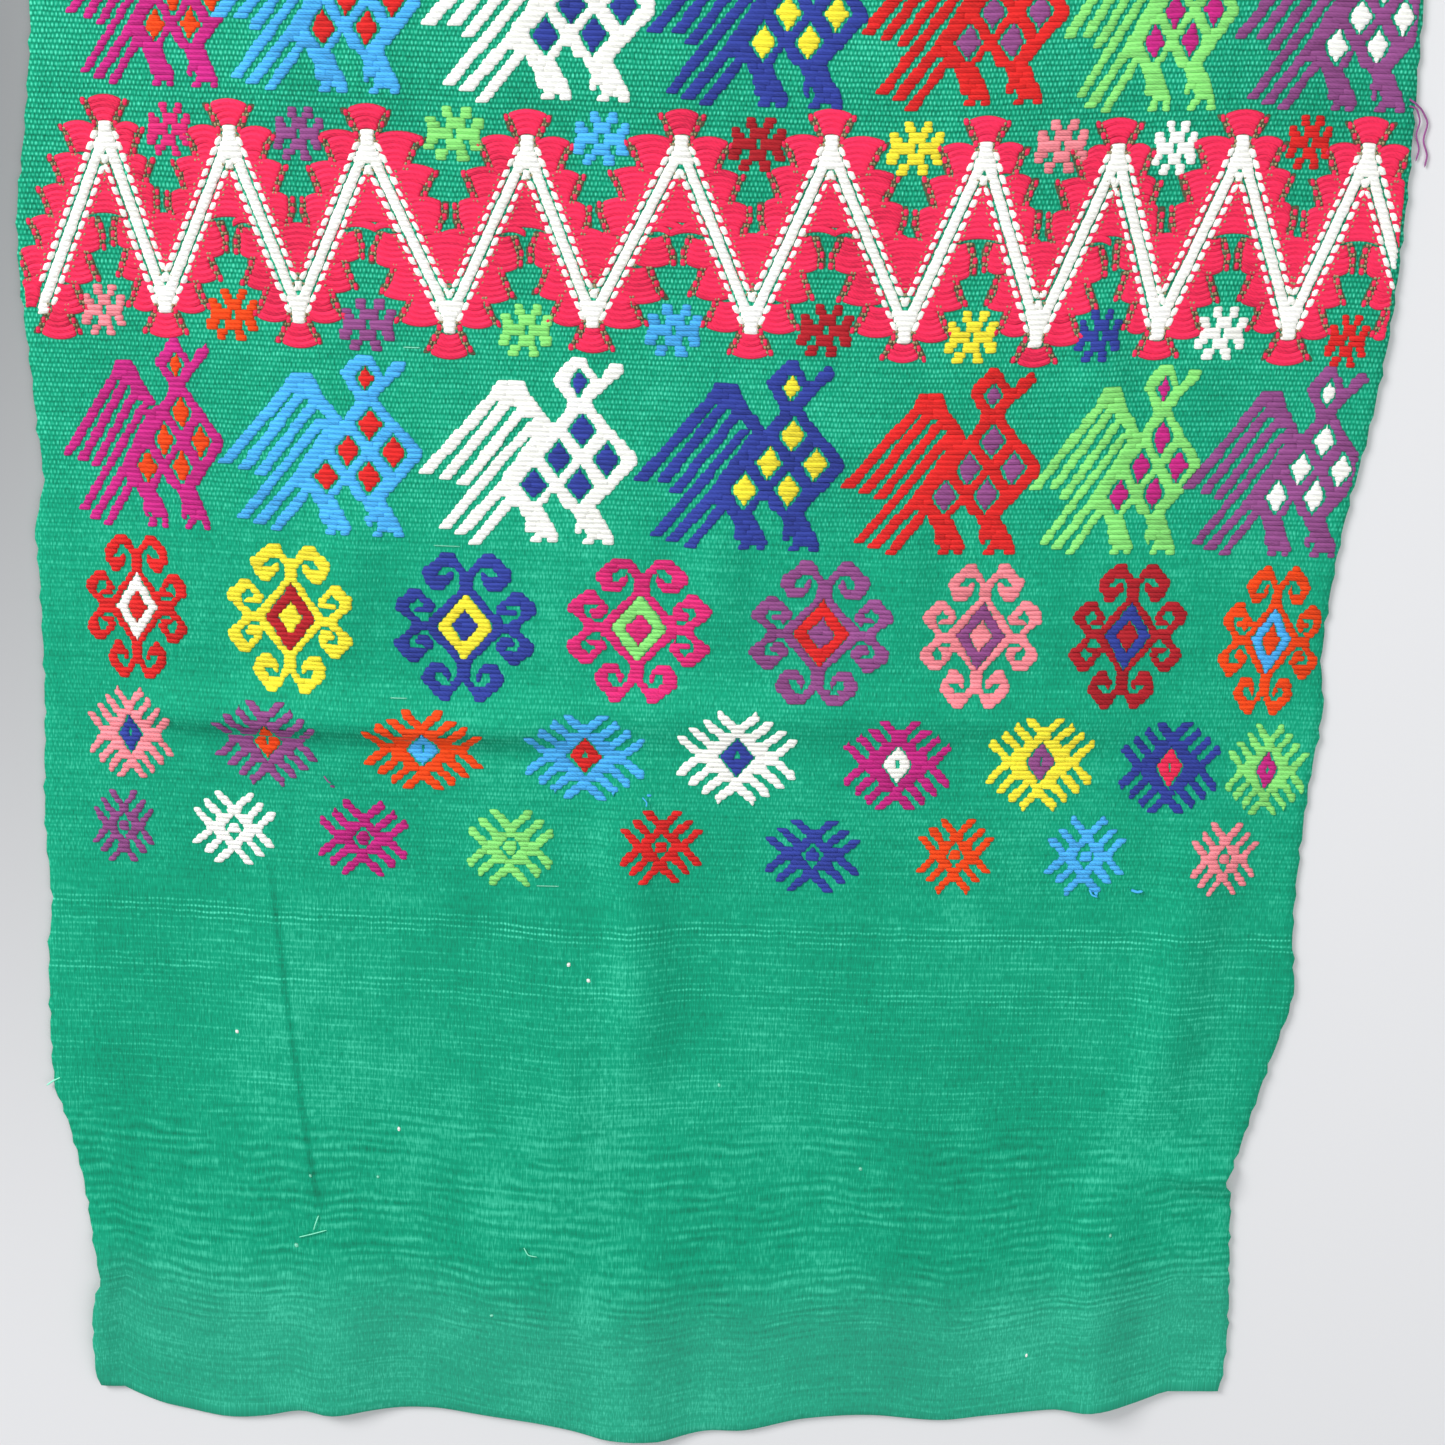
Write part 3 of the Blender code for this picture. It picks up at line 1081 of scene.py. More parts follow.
class Leg:
    """One straight leg of the zigzag, from a peak down to a valley."""

    def __init__(self, peak, valley):
        self.peak = peak
        self.valley = valley
        self.side = 1 if valley.x > peak.x else -1
        self.half = abs(valley.x - peak.x)
        self.drop = peak.from_end - valley.from_end
        self.stretch = self.half / USUAL_HALF_TOOTH
        self.lean = -self.side * self.half / (self.drop * (1 - 2 * BLUNT / TOOTH_HEIGHT))
        first = valley is VALLEYS[0]
        self.outer_bells = FIRST_LEG_BELLS if first else BELLS
        self.has_valley = not first

    def down_at(self, weft):
        """How deep below the peak a weft row crosses the leg, for a tooth of the usual height."""
        level = weft + float(weft_drift(self.peak.x, weft))
        return (self.peak.from_end - level) / self.drop * TOOTH_HEIGHT

    def middle(self, down):
        """Middle of the leg; the teeth are blunt, so it starts a little below the peak."""
        share = (down - BLUNT) / (TOOTH_HEIGHT - 2 * BLUNT)
        return self.peak.x + self.side * self.half * min(1.0, max(0.0, share))

    def from_end(self, down):
        """Place along the runner at a depth below the peak."""
        return self.peak.from_end - down * self.drop / TOOTH_HEIGHT

    def outer_edge(self, bell, depth):
        """Where a bell on the outer side ends, at a depth below the peak."""
        reach = bell_reach(bell, depth) * self.stretch
        if self.has_valley:
            room = abs(self.valley.x - self.middle(depth)) - ROOM_BETWEEN
            reach = min(reach, max(room, bell.start))
        return self.middle(depth) + self.side * reach, self.from_end(depth)

    def inner_edge(self, bell, height):
        """Where a bell on the inner side ends, at a height above the valley."""
        middle = self.middle(TOOTH_HEIGHT - height)
        room = abs(middle - self.peak.x) - ROOM_BETWEEN
        reach = min(bell_reach(bell, height) * self.stretch, max(room, bell.start))
        return middle - self.side * reach, self.from_end(TOOTH_HEIGHT - height)


def zigzag_legs():
    """The legs on either side of each peak, from left to right."""
    legs = []
    for number, peak in enumerate(PEAKS):
        legs.append(Leg(peak, VALLEYS[number]))
        legs.append(Leg(peak, VALLEYS[number + 1]))
    return legs


def paint_leg(row, leg, down):
    """Paint the bells and fillings beside one leg, "down" millimetres below its peak."""
    crimson = YARN_NUMBER["crimson"]
    piece = PIECE_NUMBER["zigzag_bells"]
    middle = leg.middle(down)
    up = TOOTH_HEIGHT - down
    for bell in leg.outer_bells:
        if bell.top <= down < bell.bottom:
            start, (end, _) = middle + leg.side * bell.start, leg.outer_edge(bell, down)
            paint_bell(row, start, end, leg.side, bell_bow(bell, down))
    for bell in BELLS:
        if bell.top <= up < bell.bottom:
            start, (end, _) = middle - leg.side * bell.start, leg.inner_edge(bell, up)
            paint_bell(row, start, end, -leg.side, -bell_bow(bell, up))
    outer, inner = middle + leg.side * FILL_START, middle - leg.side * FILL_START
    if FILL_TOP < down < FILL_BOTTOM and (inner - leg.peak.x) * leg.side > 0:
        row.paint(inner, leg.peak.x, crimson, piece, FILL_BOW)
    if leg.has_valley and FILL_TOP < up < FILL_BOTTOM and (leg.valley.x - outer) * leg.side > 0:
        row.paint(outer, leg.valley.x, crimson, piece, FILL_BOW)


def paint_cap(row, tooth, beyond, bow_side):
    """The bell that stands on a peak or hangs from a valley, "beyond" millimetres from it."""
    if CAP.top <= beyond < CAP.bottom:
        for side in (1, -1):
            edge = tooth.x + side * bell_reach(CAP, beyond)
            paint_bell(row, tooth.x, edge, side, bow_side * bell_bow(CAP, beyond))


def core_spans(weft, legs):
    """Where the white core lies in a weft row: (low, high, lean), one span where two legs meet."""
    spans = []
    for leg in legs:
        down = leg.down_at(weft)
        if not -TIP_OVER <= down < TOOTH_HEIGHT + TIP_OVER:
            continue
        middle = leg.middle(down)
        low, high = middle - CORE_HALF, middle + CORE_HALF
        tips = [(leg.peak.x, down)]
        if leg.has_valley:
            tips.append((leg.valley.x, TOOTH_HEIGHT - down))
        for tip, depth in tips:
            if depth < SOLID_TIP:
                reach = min(TIP_HALF + TIP_SLOPE * (depth + TIP_OVER), abs(middle - tip) + TIP_CORE)
                low, high = min(low, tip - reach), max(high, tip + reach)
        if spans and low <= spans[-1][1] + CORE_JOINS:
            spans[-1] = (spans[-1][0], max(high, spans[-1][1]), 0.0)
        else:
            spans.append((low, high, leg.lean))
    return spans


def paint_zigzag(row, legs):
    """The crimson bells first, then room for the white line over them."""
    for teeth, upright in ((PEAKS, 1), (VALLEY_CAPS, -1)):
        for tooth in teeth:
            level = row.weft + float(weft_drift(tooth.x, row.weft))
            paint_cap(row, tooth, upright * (tooth.from_end - level), upright)
    for leg in legs:
        down = leg.down_at(row.weft)
        if BELLS[0].top <= down < TOOTH_HEIGHT - BELLS[0].top:
            paint_leg(row, leg, down)
    for low, high, _ in core_spans(row.weft, legs):
        row.paint(low - CORE_OUTLINE, high + CORE_OUTLINE, BARE, 0)


def on_cloth(x, from_end):
    """Whether brocade can lie at a place."""
    return left_edge(from_end) + SELVEDGE_MARGIN < x < right_edge(from_end) - SELVEDGE_MARGIN


def stitch(x, from_end, width, height, puff, lean, yarn):
    """A short float round a place on the cloth."""
    weft = from_end - float(weft_drift(x, from_end))
    return Float(x - width / 2, x + width / 2, weft, height, puff, 0.0, lean, lean, YARN_NUMBER[yarn])


def core_floats(legs):
    """The white core, one smooth satin row beside the other."""
    floats = []
    white = YARN_NUMBER["cream_white"]
    for weft, pitch in weft_places(ZIGZAG_FROM, ZIGZAG_TO):
        for low, high, lean in core_spans(weft, legs):
            low = max(low, left_edge(weft) + SELVEDGE_MARGIN)
            high = min(high, right_edge(weft) - SELVEDGE_MARGIN)
            if high - low > SHORTEST_CORE:
                floats.append(Float(low, high, weft, CORE_LAP * pitch, CORE_PUFF, 0.0, lean, lean, white))
    return floats


def bead_floats(legs):
    """The oval white beads on both sides of each leg, each two rows tall."""
    beads = []
    for leg in legs:
        for outer in (True, False):
            side = leg.side if outer else -leg.side
            start = OUTER_BEADS_FROM if outer else INNER_BEADS_FROM
            stop = TOOTH_HEIGHT - (INNER_BEADS_FROM if outer else OUTER_BEADS_FROM)
            steps = round((stop - start) / BEAD_PITCH)
            for number in range(steps + 1):
                down = start + (stop - start) * number / steps
                x, from_end = leg.middle(down) + side * BEAD_OFFSET, leg.from_end(down)
                if on_cloth(x, from_end):
                    bead = stitch(x, from_end, BEAD_WIDTH, BEAD_HEIGHT, BEAD_PUFF, leg.lean, "cream_white")
                    beads.append(bead)
    return beads


def bead_ties(legs):
    """Ties in the crimson beside the beads."""
    ties = []
    for leg in legs:
        for side in (1, -1):
            for tie in BEAD_TIES:
                down = INNER_BEADS_FROM + tie.lower
                while down < TOOTH_HEIGHT - INNER_BEADS_FROM:
                    x, from_end = leg.middle(down) + side * tie.aside, leg.from_end(down)
                    if on_cloth(x, from_end):
                        made = stitch(x, from_end, TIE_WIDTH, TIE_HEIGHT, TIE_PUFF, leg.lean, "warp_tie")
                        ties.append(made)
                    down += BEAD_PITCH
    return ties


def cap_edge(tooth, side, upright, beyond):
    """Where a cap ends, "beyond" millimetres from its tooth."""
    return tooth.x + side * bell_reach(CAP, beyond), tooth.from_end - upright * beyond


def edge_curls(bell, edge, side, upright):
    """Curls and ties along a bell's slanting edge, which is a function of the depth."""
    curls = []
    for depth in CURL_DEPTHS:
        down = bell.top + depth
        if down > bell.bottom:
            break
        lean = CURL_LEAN * (edge(down + 0.5)[0] - edge(down - 0.5)[0]) * -upright
        places = [(CURL_ASIDE, 0.0, CURL_WIDTH, CURL_HEIGHT, CURL_PUFF, "crimson")]
        places += [(tie.aside, tie.lower, TIE_WIDTH, TIE_HEIGHT, TIE_PUFF, "warp_tie") for tie in EDGE_TIES]
        for aside, lower, width, height, puff, yarn in places:
            x, from_end = edge(down + lower)
            x += side * aside
            if on_cloth(x, from_end):
                curls.append(stitch(x, from_end, width, height, puff, lean, yarn))
    return curls


def curl_floats(legs):
    """The curls of every bell and cap, after the ties beside the beads."""
    curls = bead_ties(legs)
    for leg in legs:
        for bell in leg.outer_bells:
            curls += edge_curls(bell, partial(leg.outer_edge, bell), leg.side, 1)
        for bell in BELLS:
            curls += edge_curls(bell, partial(leg.inner_edge, bell), -leg.side, -1)
    for teeth, upright in ((PEAKS, 1), (VALLEY_CAPS, -1)):
        for tooth in teeth:
            for side in (1, -1):
                curls += edge_curls(CAP, partial(cap_edge, tooth, side, upright), side, upright)
    return curls


def edge_lean(run, end, rows_beside):
    """How far one end of a run goes to the right per millimetre up, by the rows beside it."""
    if run.piece == PIECE_NUMBER["band_stars"]:
        return 0.0
    leans = []
    for distance, runs in rows_beside:
        alike = [other for other in runs if (other.yarn, other.piece) == (run.yarn, run.piece)]
        steps = [getattr(other, end) - getattr(run, end) for other in alike]
        near = min(steps, key=abs, default=EDGE_REACH)
        if abs(near) < EDGE_REACH:
            leans.append(near / distance)
    lean = LEAN_SHARE * sum(leans) / max(1, len(leans))
    return max(-MOST_LEAN, min(MOST_LEAN, lean))


def floats_of_run(run, row, number, rows_beside):
    """The floats of one run of yarn; a long run is tied down on the way."""
    in_bell = run.piece == PIECE_NUMBER["zigzag_bells"]
    longest, lap = (LONGEST_BELL_FLOAT, BELL_LAP) if in_bell else (LONGEST_FLOAT, FLOAT_LAP)
    # The strip of painted shade lies low on the cloth
    puff = SHADE_STRIP_PUFF if run.yarn == YARN_NUMBER["curl_shade_strip"] else FLOAT_PUFF
    stagger = SPLIT_STAGGER if number % 2 else -SPLIT_STAGGER
    parts = math.ceil((run.x1 - run.x0) / longest)
    joints = [run.x0 + (run.x1 - run.x0) * (part + stagger) / parts for part in range(1, parts)]
    leans = [edge_lean(run, "x0", rows_beside), *(0.0 for _ in joints), edge_lean(run, "x1", rows_beside)]
    starts = [run.x0, *(joint - JOINT_LAP for joint in joints)]
    ends = [*(joint + JOINT_LAP for joint in joints), run.x1]
    for part in range(parts):
        yield Float(
            starts[part], ends[part], row.weft, lap * row.pitch, puff, run.bow,
            leans[part], leans[part + 1], run.yarn,
        )


# Lengths of the runner with brocade, and with each row of figures
BROCADE_FROM = 188
BROCADE_TO = 500
ZIGZAG_FROM = 345
ZIGZAG_TO = 440

FigureBand = namedtuple("FigureBand", "piece low high chart figures")


def weave_brocade():
    """Paint every weft row and collect the floats of each piece."""
    floats = [[] for _ in PIECES]
    bands = [
        FigureBand("small_ray_stars", BROCADE_FROM, 224, small_star_chart(), SMALL_STARS),
        FigureBand("ray_stars", 216, 258, ray_star_chart(), RAY_STARS),
        FigureBand("hooked_diamonds", 246, 306, hooked_diamond_chart(), HOOKED_DIAMONDS),
        FigureBand("lower_birds", 290, 366, bird_chart(), by_right_foot(LOWER_BIRDS)),
        FigureBand("band_stars", 350, 434, band_star_chart(), BAND_STARS),
        FigureBand("upper_birds", 420, BROCADE_TO, bird_chart(), by_right_foot(UPPER_BIRDS)),
    ]
    legs = zigzag_legs()
    rows = []
    for weft, pitch in weft_places(BROCADE_FROM, BROCADE_TO):
        row = WeftRow(weft, pitch)
        if ZIGZAG_FROM < weft < ZIGZAG_TO:
            paint_zigzag(row, legs)
        for part in bands:
            if part.low <= weft <= part.high:
                paint_figures(row, part.figures, part.chart, PIECE_NUMBER[part.piece])
        row.trim_to_cloth()
        rows.append((row, list(row.runs())))
    for number, (row, runs) in enumerate(rows):
        beside = rows[max(0, number - 1):number] + rows[number + 1:number + 2]
        rows_beside = [(other.weft - row.weft, other_runs) for other, other_runs in beside]
        for run in runs:
            floats[run.piece] += floats_of_run(run, row, number, rows_beside)
    floats[PIECE_NUMBER["zigzag_bells"]] += curl_floats(legs)
    floats[PIECE_NUMBER["zigzag_line"]] += core_floats(legs) + bead_floats(legs)
    floats[PIECE_NUMBER["slubs_and_neps"]] += [
        stitch(slub.x, slub.from_end, slub.length, slub.thick, SLUB_PUFF, 0.0, slub.yarn) for slub in SLUBS
    ]
    return floats


# Meshes

# Room round the runner in the map that looks down on it, and where its underside lies there
MAP_MARGIN = 20
UNDERSIDE_MAP = (0.5, 0.0)


def mesh_object(name, points, faces):
    """A smooth mesh object from arrays of points in millimetres and of four-cornered faces."""
    mesh = bpy.data.meshes.new(name)
    mesh.from_pydata((points * MM).tolist(), [], faces.tolist())
    mesh.shade_smooth()
    thing = bpy.data.objects.new(name, mesh)
    bpy.context.scene.collection.objects.link(thing)
    return thing


def corner_uvs(mesh, layer_name, point_uvs, moved_from=None, move=(0.0, 0.0)):
    """Give every face corner the map place of its point; corners from a number on are moved."""
    layer = mesh.uv_layers.new(name=layer_name)
    corners = np.zeros(len(mesh.loops), dtype=int)
    mesh.loops.foreach_get("vertex_index", corners)
    places = point_uvs[corners]
    if moved_from is not None:
        places[moved_from:] += move
    layer.data.foreach_set("uv", places.astype(np.float32).ravel())


def plan_uvs(points):
    """Map places that look straight down on the runner, at one scale for every piece."""
    from_hem = points[:, :2] + (0, LENGTH / 2)
    return (from_hem + (WIDTH / 2 + MAP_MARGIN, MAP_MARGIN)) / (LENGTH + 3 * MAP_MARGIN)


def finish_yarn_piece(name, points, faces, yarn_map, shades, yarns, materials):
    """A piece of yarn with its maps, the shade of each point and the yarn of each face."""
    piece = mesh_object(name, points, faces)
    mesh = piece.data
    corner_uvs(mesh, "OFBake", plan_uvs(points))
    corner_uvs(mesh, "yarn", yarn_map)
    shade = mesh.attributes.new("yarn_shade", "FLOAT", "POINT")
    shade.data.foreach_set("value", shades.astype(np.float32))
    used = sorted(set(yarns))
    for number in used:
        mesh.materials.append(materials[YARNS[number].name])
    mesh.polygons.foreach_set("material_index", [used.index(number) for number in yarns])
    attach(piece, "root")
    return piece


def float_points(floats, stations, rng):
    """Points of many floats on one pattern of stations: arrays of points, map places and shades."""
    table = np.array([item[:8] for item in floats])
    x0, x1, weft, tall, puff, bow, lean, lean_end = table.T[:, :, None, None]
    along = np.array(stations)[None, :, None, :]
    across = np.array(STRANDS)[None, None, :, :]
    count = len(floats)

    def jitter(size):
        return rng.uniform(-size, size, (count, 1, 1))

    x0 = x0 + jitter(END_CHANCE)
    x1 = x1 + jitter(END_CHANCE)
    length = x1 - x0
    dip = np.minimum(DIP_LENGTH, DIP_SHARE * length)
    s = along[..., 0] * dip + along[..., 1] * (length - 2 * dip)
    share = s / length
    v = across[..., 0]
    offset = v * tall * along[..., 3] * (1 + jitter(TALL_CHANCE))
    x = x0 + s + (lean + (lean_end - lean) * share) * offset
    from_end = weft + weft_drift(x, weft) + offset
    from_end = from_end + bow * 4 * share * (1 - share) * np.minimum(1.0, length / FULL_ARCH)
    from_end = from_end + jitter(PLACE_CHANCE) + jitter(FLOAT_TILT) * (share - 0.5)
    rise = np.where(across[..., 1] > 0, across[..., 1] * along[..., 2], across[..., 1])
    height = puff * (1 + jitter(PUFF_CHANCE)) * rise
    z = cloth_lift(x, from_end) + CLOTH_THICKNESS + height
    shape = np.broadcast_shapes(x.shape, z.shape)
    points = np.stack([np.broadcast_to(a, shape) for a in (x, from_end - LENGTH / 2, z)], axis=-1)
    start = rng.uniform(0, YARN_REPEAT, (count, 1, 1))
    yarn_map = np.stack([np.broadcast_to(s + start, shape), np.broadcast_to(v * 2, shape)], axis=-1)
    # Each float's shade: a random tone plus wide patches of painted light and shade
    patch = math.prod(np.sin(wave.across * x + wave.along * from_end + wave.phase) for wave in PATCH_WAVES)
    shade = np.broadcast_to(rng.uniform(0, 1, (count, 1, 1)) + PATCH_SHADE * patch, shape)
    return points.reshape(-1, 3), yarn_map.reshape(-1, 2), shade.reshape(-1)


def pattern_faces(count, rows, columns):
    """Faces of many grids of points that follow one another."""
    r, c = np.meshgrid(np.arange(rows - 1), np.arange(columns - 1), indexing="ij")
    low = (r * columns + c).ravel()
    quad = np.stack([low, low + columns, low + columns + 1, low + 1], axis=-1)
    starts = np.arange(count)[:, None, None] * rows * columns
    return (starts + quad[None]).reshape(-1, 4)


def make_brocade(name, floats, materials, rng):
    """One piece of brocade: all floats of a row of figures, each in its yarn."""
    groups = {shape: [] for shape in FLOAT_SHAPES}
    for item in floats:
        long_shape = "arched" if item.bow else "long"
        groups["short" if item.x1 - item.x0 < SHORT_UNDER else long_shape].append(item)
    points, maps, shades, faces, yarns = [], [], [], [], []
    start = 0
    for shape, group in groups.items():
        if not group:
            continue
        stations = FLOAT_SHAPES[shape]
        group_points, group_map, group_shade = float_points(group, stations, rng)
        group_faces = pattern_faces(len(group), len(stations), len(STRANDS)) + start
        start += len(group_points)
        points.append(group_points)
        maps.append(group_map)
        shades.append(group_shade)
        faces.append(group_faces[:, ::-1])
        per_float = (len(stations) - 1) * (len(STRANDS) - 1)
        yarns.append(np.repeat([item.yarn for item in group], per_float))
    points, faces, maps, shades, yarns = map(np.concatenate, (points, faces, maps, shades, yarns))
    return finish_yarn_piece(name, points, faces, maps, shades, yarns.tolist(), materials)


# Small scallops along a selvedge, where the weft was drawn in
Scallop = namedtuple("Scallop", "along phase depth")

SCALLOPS = [
    Scallop(0.62, 1.0, 0.30),
    Scallop(1.13, 2.0, 0.22),
]


def selvedge_wave(from_end, side):
    """How far the scallops move a selvedge at a length along it."""
    return sum(wave.depth * math.sin(wave.along * from_end + wave.phase * side) for wave in SCALLOPS)


def sheet_grid():
    """Places of the sheet's points: rows from hem to hem, columns from side to side."""
    columns = round(WIDTH / CELL_ACROSS)
    near = np.linspace(0.0, DECORATED_LENGTH, round(DECORATED_LENGTH / CELL_DECORATED) + 1)
    far_count = round((LENGTH - DECORATED_LENGTH) / CELL_PLAIN)
    rows = np.concatenate([near, np.linspace(DECORATED_LENGTH, LENGTH, far_count + 1)[1:]])
    grid = np.zeros((len(rows), columns + 1, 2))
    for r, from_end in enumerate(rows):
        for c in range(columns + 1):
            grid[r, c] = sheet_place(c / columns, from_end)
        grid[r, 0, 0] += selvedge_wave(from_end, 1)
        grid[r, -1, 0] += selvedge_wave(from_end, -2)
    return rows, grid


def rim_order(rows, columns):
    """Point numbers round the border of a grid, counter-clockwise."""
    near = list(range(columns))
    right = [r * columns + columns - 1 for r in range(1, rows)]
    far = [(rows - 1) * columns + c for c in range(columns - 2, -1, -1)]
    left = [r * columns for r in range(rows - 2, 0, -1)]
    return np.array(near + right + far + left)


def make_cloth(material):
    """The whole runner as one closed sheet with a rounded edge."""
    rows, grid = sheet_grid()
    count_rows, count_columns = grid.shape[:2]
    places = grid.reshape(-1, 2)
    lift = cloth_lift(places[:, 0], places[:, 1])
    top = np.column_stack([places, lift + CLOTH_THICKNESS])
    bottom = np.column_stack([places, np.maximum(lift - UNDERSIDE_DROP, 0.0)])
    border = rim_order(count_rows, count_columns)
    ring = top[border].copy()
    forward = np.roll(ring[:, :2], -1, axis=0) - np.roll(ring[:, :2], 1, axis=0)
    outward = np.column_stack([forward[:, 1], -forward[:, 0]])
    outward /= np.linalg.norm(outward, axis=1)[:, None]
    ring[:, :2] += outward * ROUNDED_EDGE
    ring[:, 2] -= CLOTH_THICKNESS / 2
    points = np.concatenate([top, bottom, ring])
    points[:, 1] -= LENGTH / 2

    size = len(top)
    quads = pattern_faces(1, count_rows, count_columns)
    top_faces = quads[:, ::-1]
    bottom_faces = quads + size
    after = np.roll(border, -1)
    ring_here = np.arange(len(border)) + 2 * size
    ring_after = np.roll(ring_here, -1)
    upper_rim = np.column_stack([border, ring_here, ring_after, after])
    lower_rim = np.column_stack([border + size, after + size, ring_after, ring_here])
    faces = np.concatenate([top_faces, upper_rim, bottom_faces, lower_rim])
    cloth = mesh_object("runner_sheet", points, faces)
    mesh = cloth.data

    weft = np.repeat(rows, count_columns)
    weft = weft - weft_drift(places[:, 0], weft)
    row_number = np.array([rows_up_to(value) for value in weft])
    weave_map = np.column_stack([(places[:, 0] + WIDTH / 2) / END_PITCH, row_number])
    corner_uvs(mesh, "weave", np.concatenate([weave_map, weave_map, weave_map[border]]))
    shown = 4 * (len(top_faces) + len(upper_rim))
    corner_uvs(mesh, "OFBake", plan_uvs(points), shown, UNDERSIDE_MAP)
    add_zones(mesh, points[:, 0], np.concatenate([weft, weft, weft[border]]))
    mesh.materials.append(material)
    return cloth


# Broad bands of painted fold light and shade along the warp in the plain part of the decorated
# end, and single weft rows that show lighter there
FoldShadeBand = namedtuple("FoldShadeBand", "x width tone")

FOLD_SHADE_BANDS = [
    FoldShadeBand(-125, 34, 0.03),
    FoldShadeBand(-66, 12, -0.02),
    FoldShadeBand(-24, 9, 0.07),
    FoldShadeBand(2, 14, -0.02),
    FoldShadeBand(78, 34, -0.035),
    FoldShadeBand(141, 10, 0.05),
    FoldShadeBand(170, 12, 0.03),
]

LightRow = namedtuple("LightRow", "weft spread gain")

LIGHT_ROWS = [
    LightRow(180.0, 3.0, 2.2),
    LightRow(159.0, 3.5, 1.0),
]

# Beads of the warp grow in three steps towards the brocade
BeadStep = namedtuple("BeadStep", "start end gain")

BEAD_STEPS = [
    BeadStep(182, 202, 0.40),
    BeadStep(290, 330, 0.60),
    BeadStep(345, 385, 0.35),
]

# How much of the fine ribs is lost in the brocade and shows at the hem, and how much of
# the wide ribs shows at the hem
FINE_LOST = 0.85
FINE_AT_HEM = 0.25
WIDE_AT_HEM = 0.35

# The cloth's tone, 0 in painted shade to 1 in painted light, how much darker it is round the
# zigzag, and how far the bands of painted fold shade sway
USUAL_TONE = 0.47
DARKER_AT_ZIGZAG = 0.06
SHADE_BAND_SWAY = 4.0


def add_zones(mesh, x, weft):
    """How strongly beads (red), fine ribs (green) and wide ribs (blue) show at each point,
    then the tone (red), with bands of painted fold light and shade, and how worn the hem is (green)."""
    beads = sum(step.gain * ramp(weft, step.start, step.end) for step in BEAD_STEPS)
    fine = ramp(weft, 100, 120) * (1 - FINE_LOST * ramp(weft, 180, 186))
    fine += FINE_AT_HEM * (1 - ramp(weft, 36, 50))
    for row in LIGHT_ROWS:
        fine += row.gain * np.exp(-(((weft - row.weft) / row.spread) ** 2))
    wide = (WIDE_AT_HEM + (1 - WIDE_AT_HEM) * ramp(weft, 26, 44)) * (1 - ramp(weft, 104, 126))
    tone = np.full_like(x, USUAL_TONE)
    # Bands of painted fold light and shade
    for warp in FOLD_SHADE_BANDS:
        share = (x - warp.x + SHADE_BAND_SWAY * np.sin(0.03 * weft)) / warp.width
        tone += warp.tone * np.exp(-(share**2)) * (1 - ramp(weft, 170, 230))
    tone -= DARKER_AT_ZIGZAG * ramp(weft, 378, 390) * (1 - ramp(weft, 432, 442))
    worn = 1 - ramp(weft, 30, 65)
    whole = np.ones_like(x)
    layers = {"weave_zones": (beads, fine, wide, whole), "weave_tones": (tone, worn, whole, whole)}
    for name, channels in layers.items():
        layer = mesh.color_attributes.new(name, "FLOAT_COLOR", "POINT")
        layer.data.foreach_set("color", np.column_stack(channels).astype(np.float32).ravel())


# Materials

def linear(value):
    """A colour channel of 0 to 255, as the eye sees it, as the share of light it returns."""
    share = value / 255
    return share / 12.92 if share <= 0.04045 else ((share + 0.055) / 1.055) ** 2.4


def yarn_colour(yarn, factor=1.0):
    """A yarn's colour for a shader."""
    return tuple(min(1.0, linear(v) * factor) for v in (yarn.red, yarn.green, yarn.blue)) + (1.0,)


# How far a flat noise swings about its middle
NOISE_SWING = 0.78


class Wiring:
    """Short calls for placing and joining the nodes of one tree."""

    def __init__(self, tree):
        self.tree = tree

    def node(self, kind, **settings):
        made = self.tree.nodes.new(kind)
        for key, value in settings.items():
            setattr(made, key, value)
        return made

    def join(self, output, socket):
        self.tree.links.new(output, socket)

    def feed(self, socket, value):
        """Put a link or a plain value into a socket."""
        if isinstance(value, bpy.types.NodeSocket):
            self.join(value, socket)
        else:
            socket.default_value = value

    def math(self, operation, *values, clamp=False):
        made = self.node("ShaderNodeMath", operation=operation, use_clamp=clamp)
        for socket, value in zip(made.inputs, values):
            self.feed(socket, value)
        return made.outputs[0]

    def mix(self, share, first, second):
        made = self.node("ShaderNodeMix", data_type="RGBA")
        self.feed(made.inputs[0], share)
        self.feed(made.inputs[6], first)
        self.feed(made.inputs[7], second)
        return made.outputs[2]

    def noise(self, vector, kind):
        """Flat noise of one kind, stretched over a map."""
        stretched = self.node("ShaderNodeVectorMath", operation="MULTIPLY")
        self.join(vector, stretched.inputs[0])
        stretched.inputs[1].default_value = (kind.across, kind.along, 0.0)
        made = self.node("ShaderNodeTexNoise", noise_dimensions="2D")
        self.join(stretched.outputs[0], made.inputs["Vector"])
        made.inputs["Scale"].default_value = 1.0
        made.inputs["Detail"].default_value = kind.detail
        made.inputs["Roughness"].default_value = kind.roughness
        return self.math("MULTIPLY_ADD", made.outputs["Fac"], NOISE_SWING, 0.5 - 0.5 * NOISE_SWING)

    def swing(self, value, strength):
        """How far a noise lies from its middle, times a strength."""
        return self.math("MULTIPLY", self.math("SUBTRACT", value, 0.5), strength)

    def tinted(self, tone, deep, middle, lit):
        """A colour from painted shade (tone 0) over the plain one (0.5) to painted light (1)."""
        lower = self.mix(self.math("MULTIPLY", tone, 2.0, clamp=True), deep, middle)
        return self.mix(self.math("MULTIPLY_ADD", tone, 2.0, -1.0, clamp=True), lower, lit)

    def steps(self, value, low, high):
        """0 below low and 1 above high."""
        made = self.node("ShaderNodeMapRange", interpolation_type="SMOOTHSTEP")
        self.join(value, made.inputs[0])
        made.inputs[1].default_value = low
        made.inputs[2].default_value = high
        return made.outputs[0]


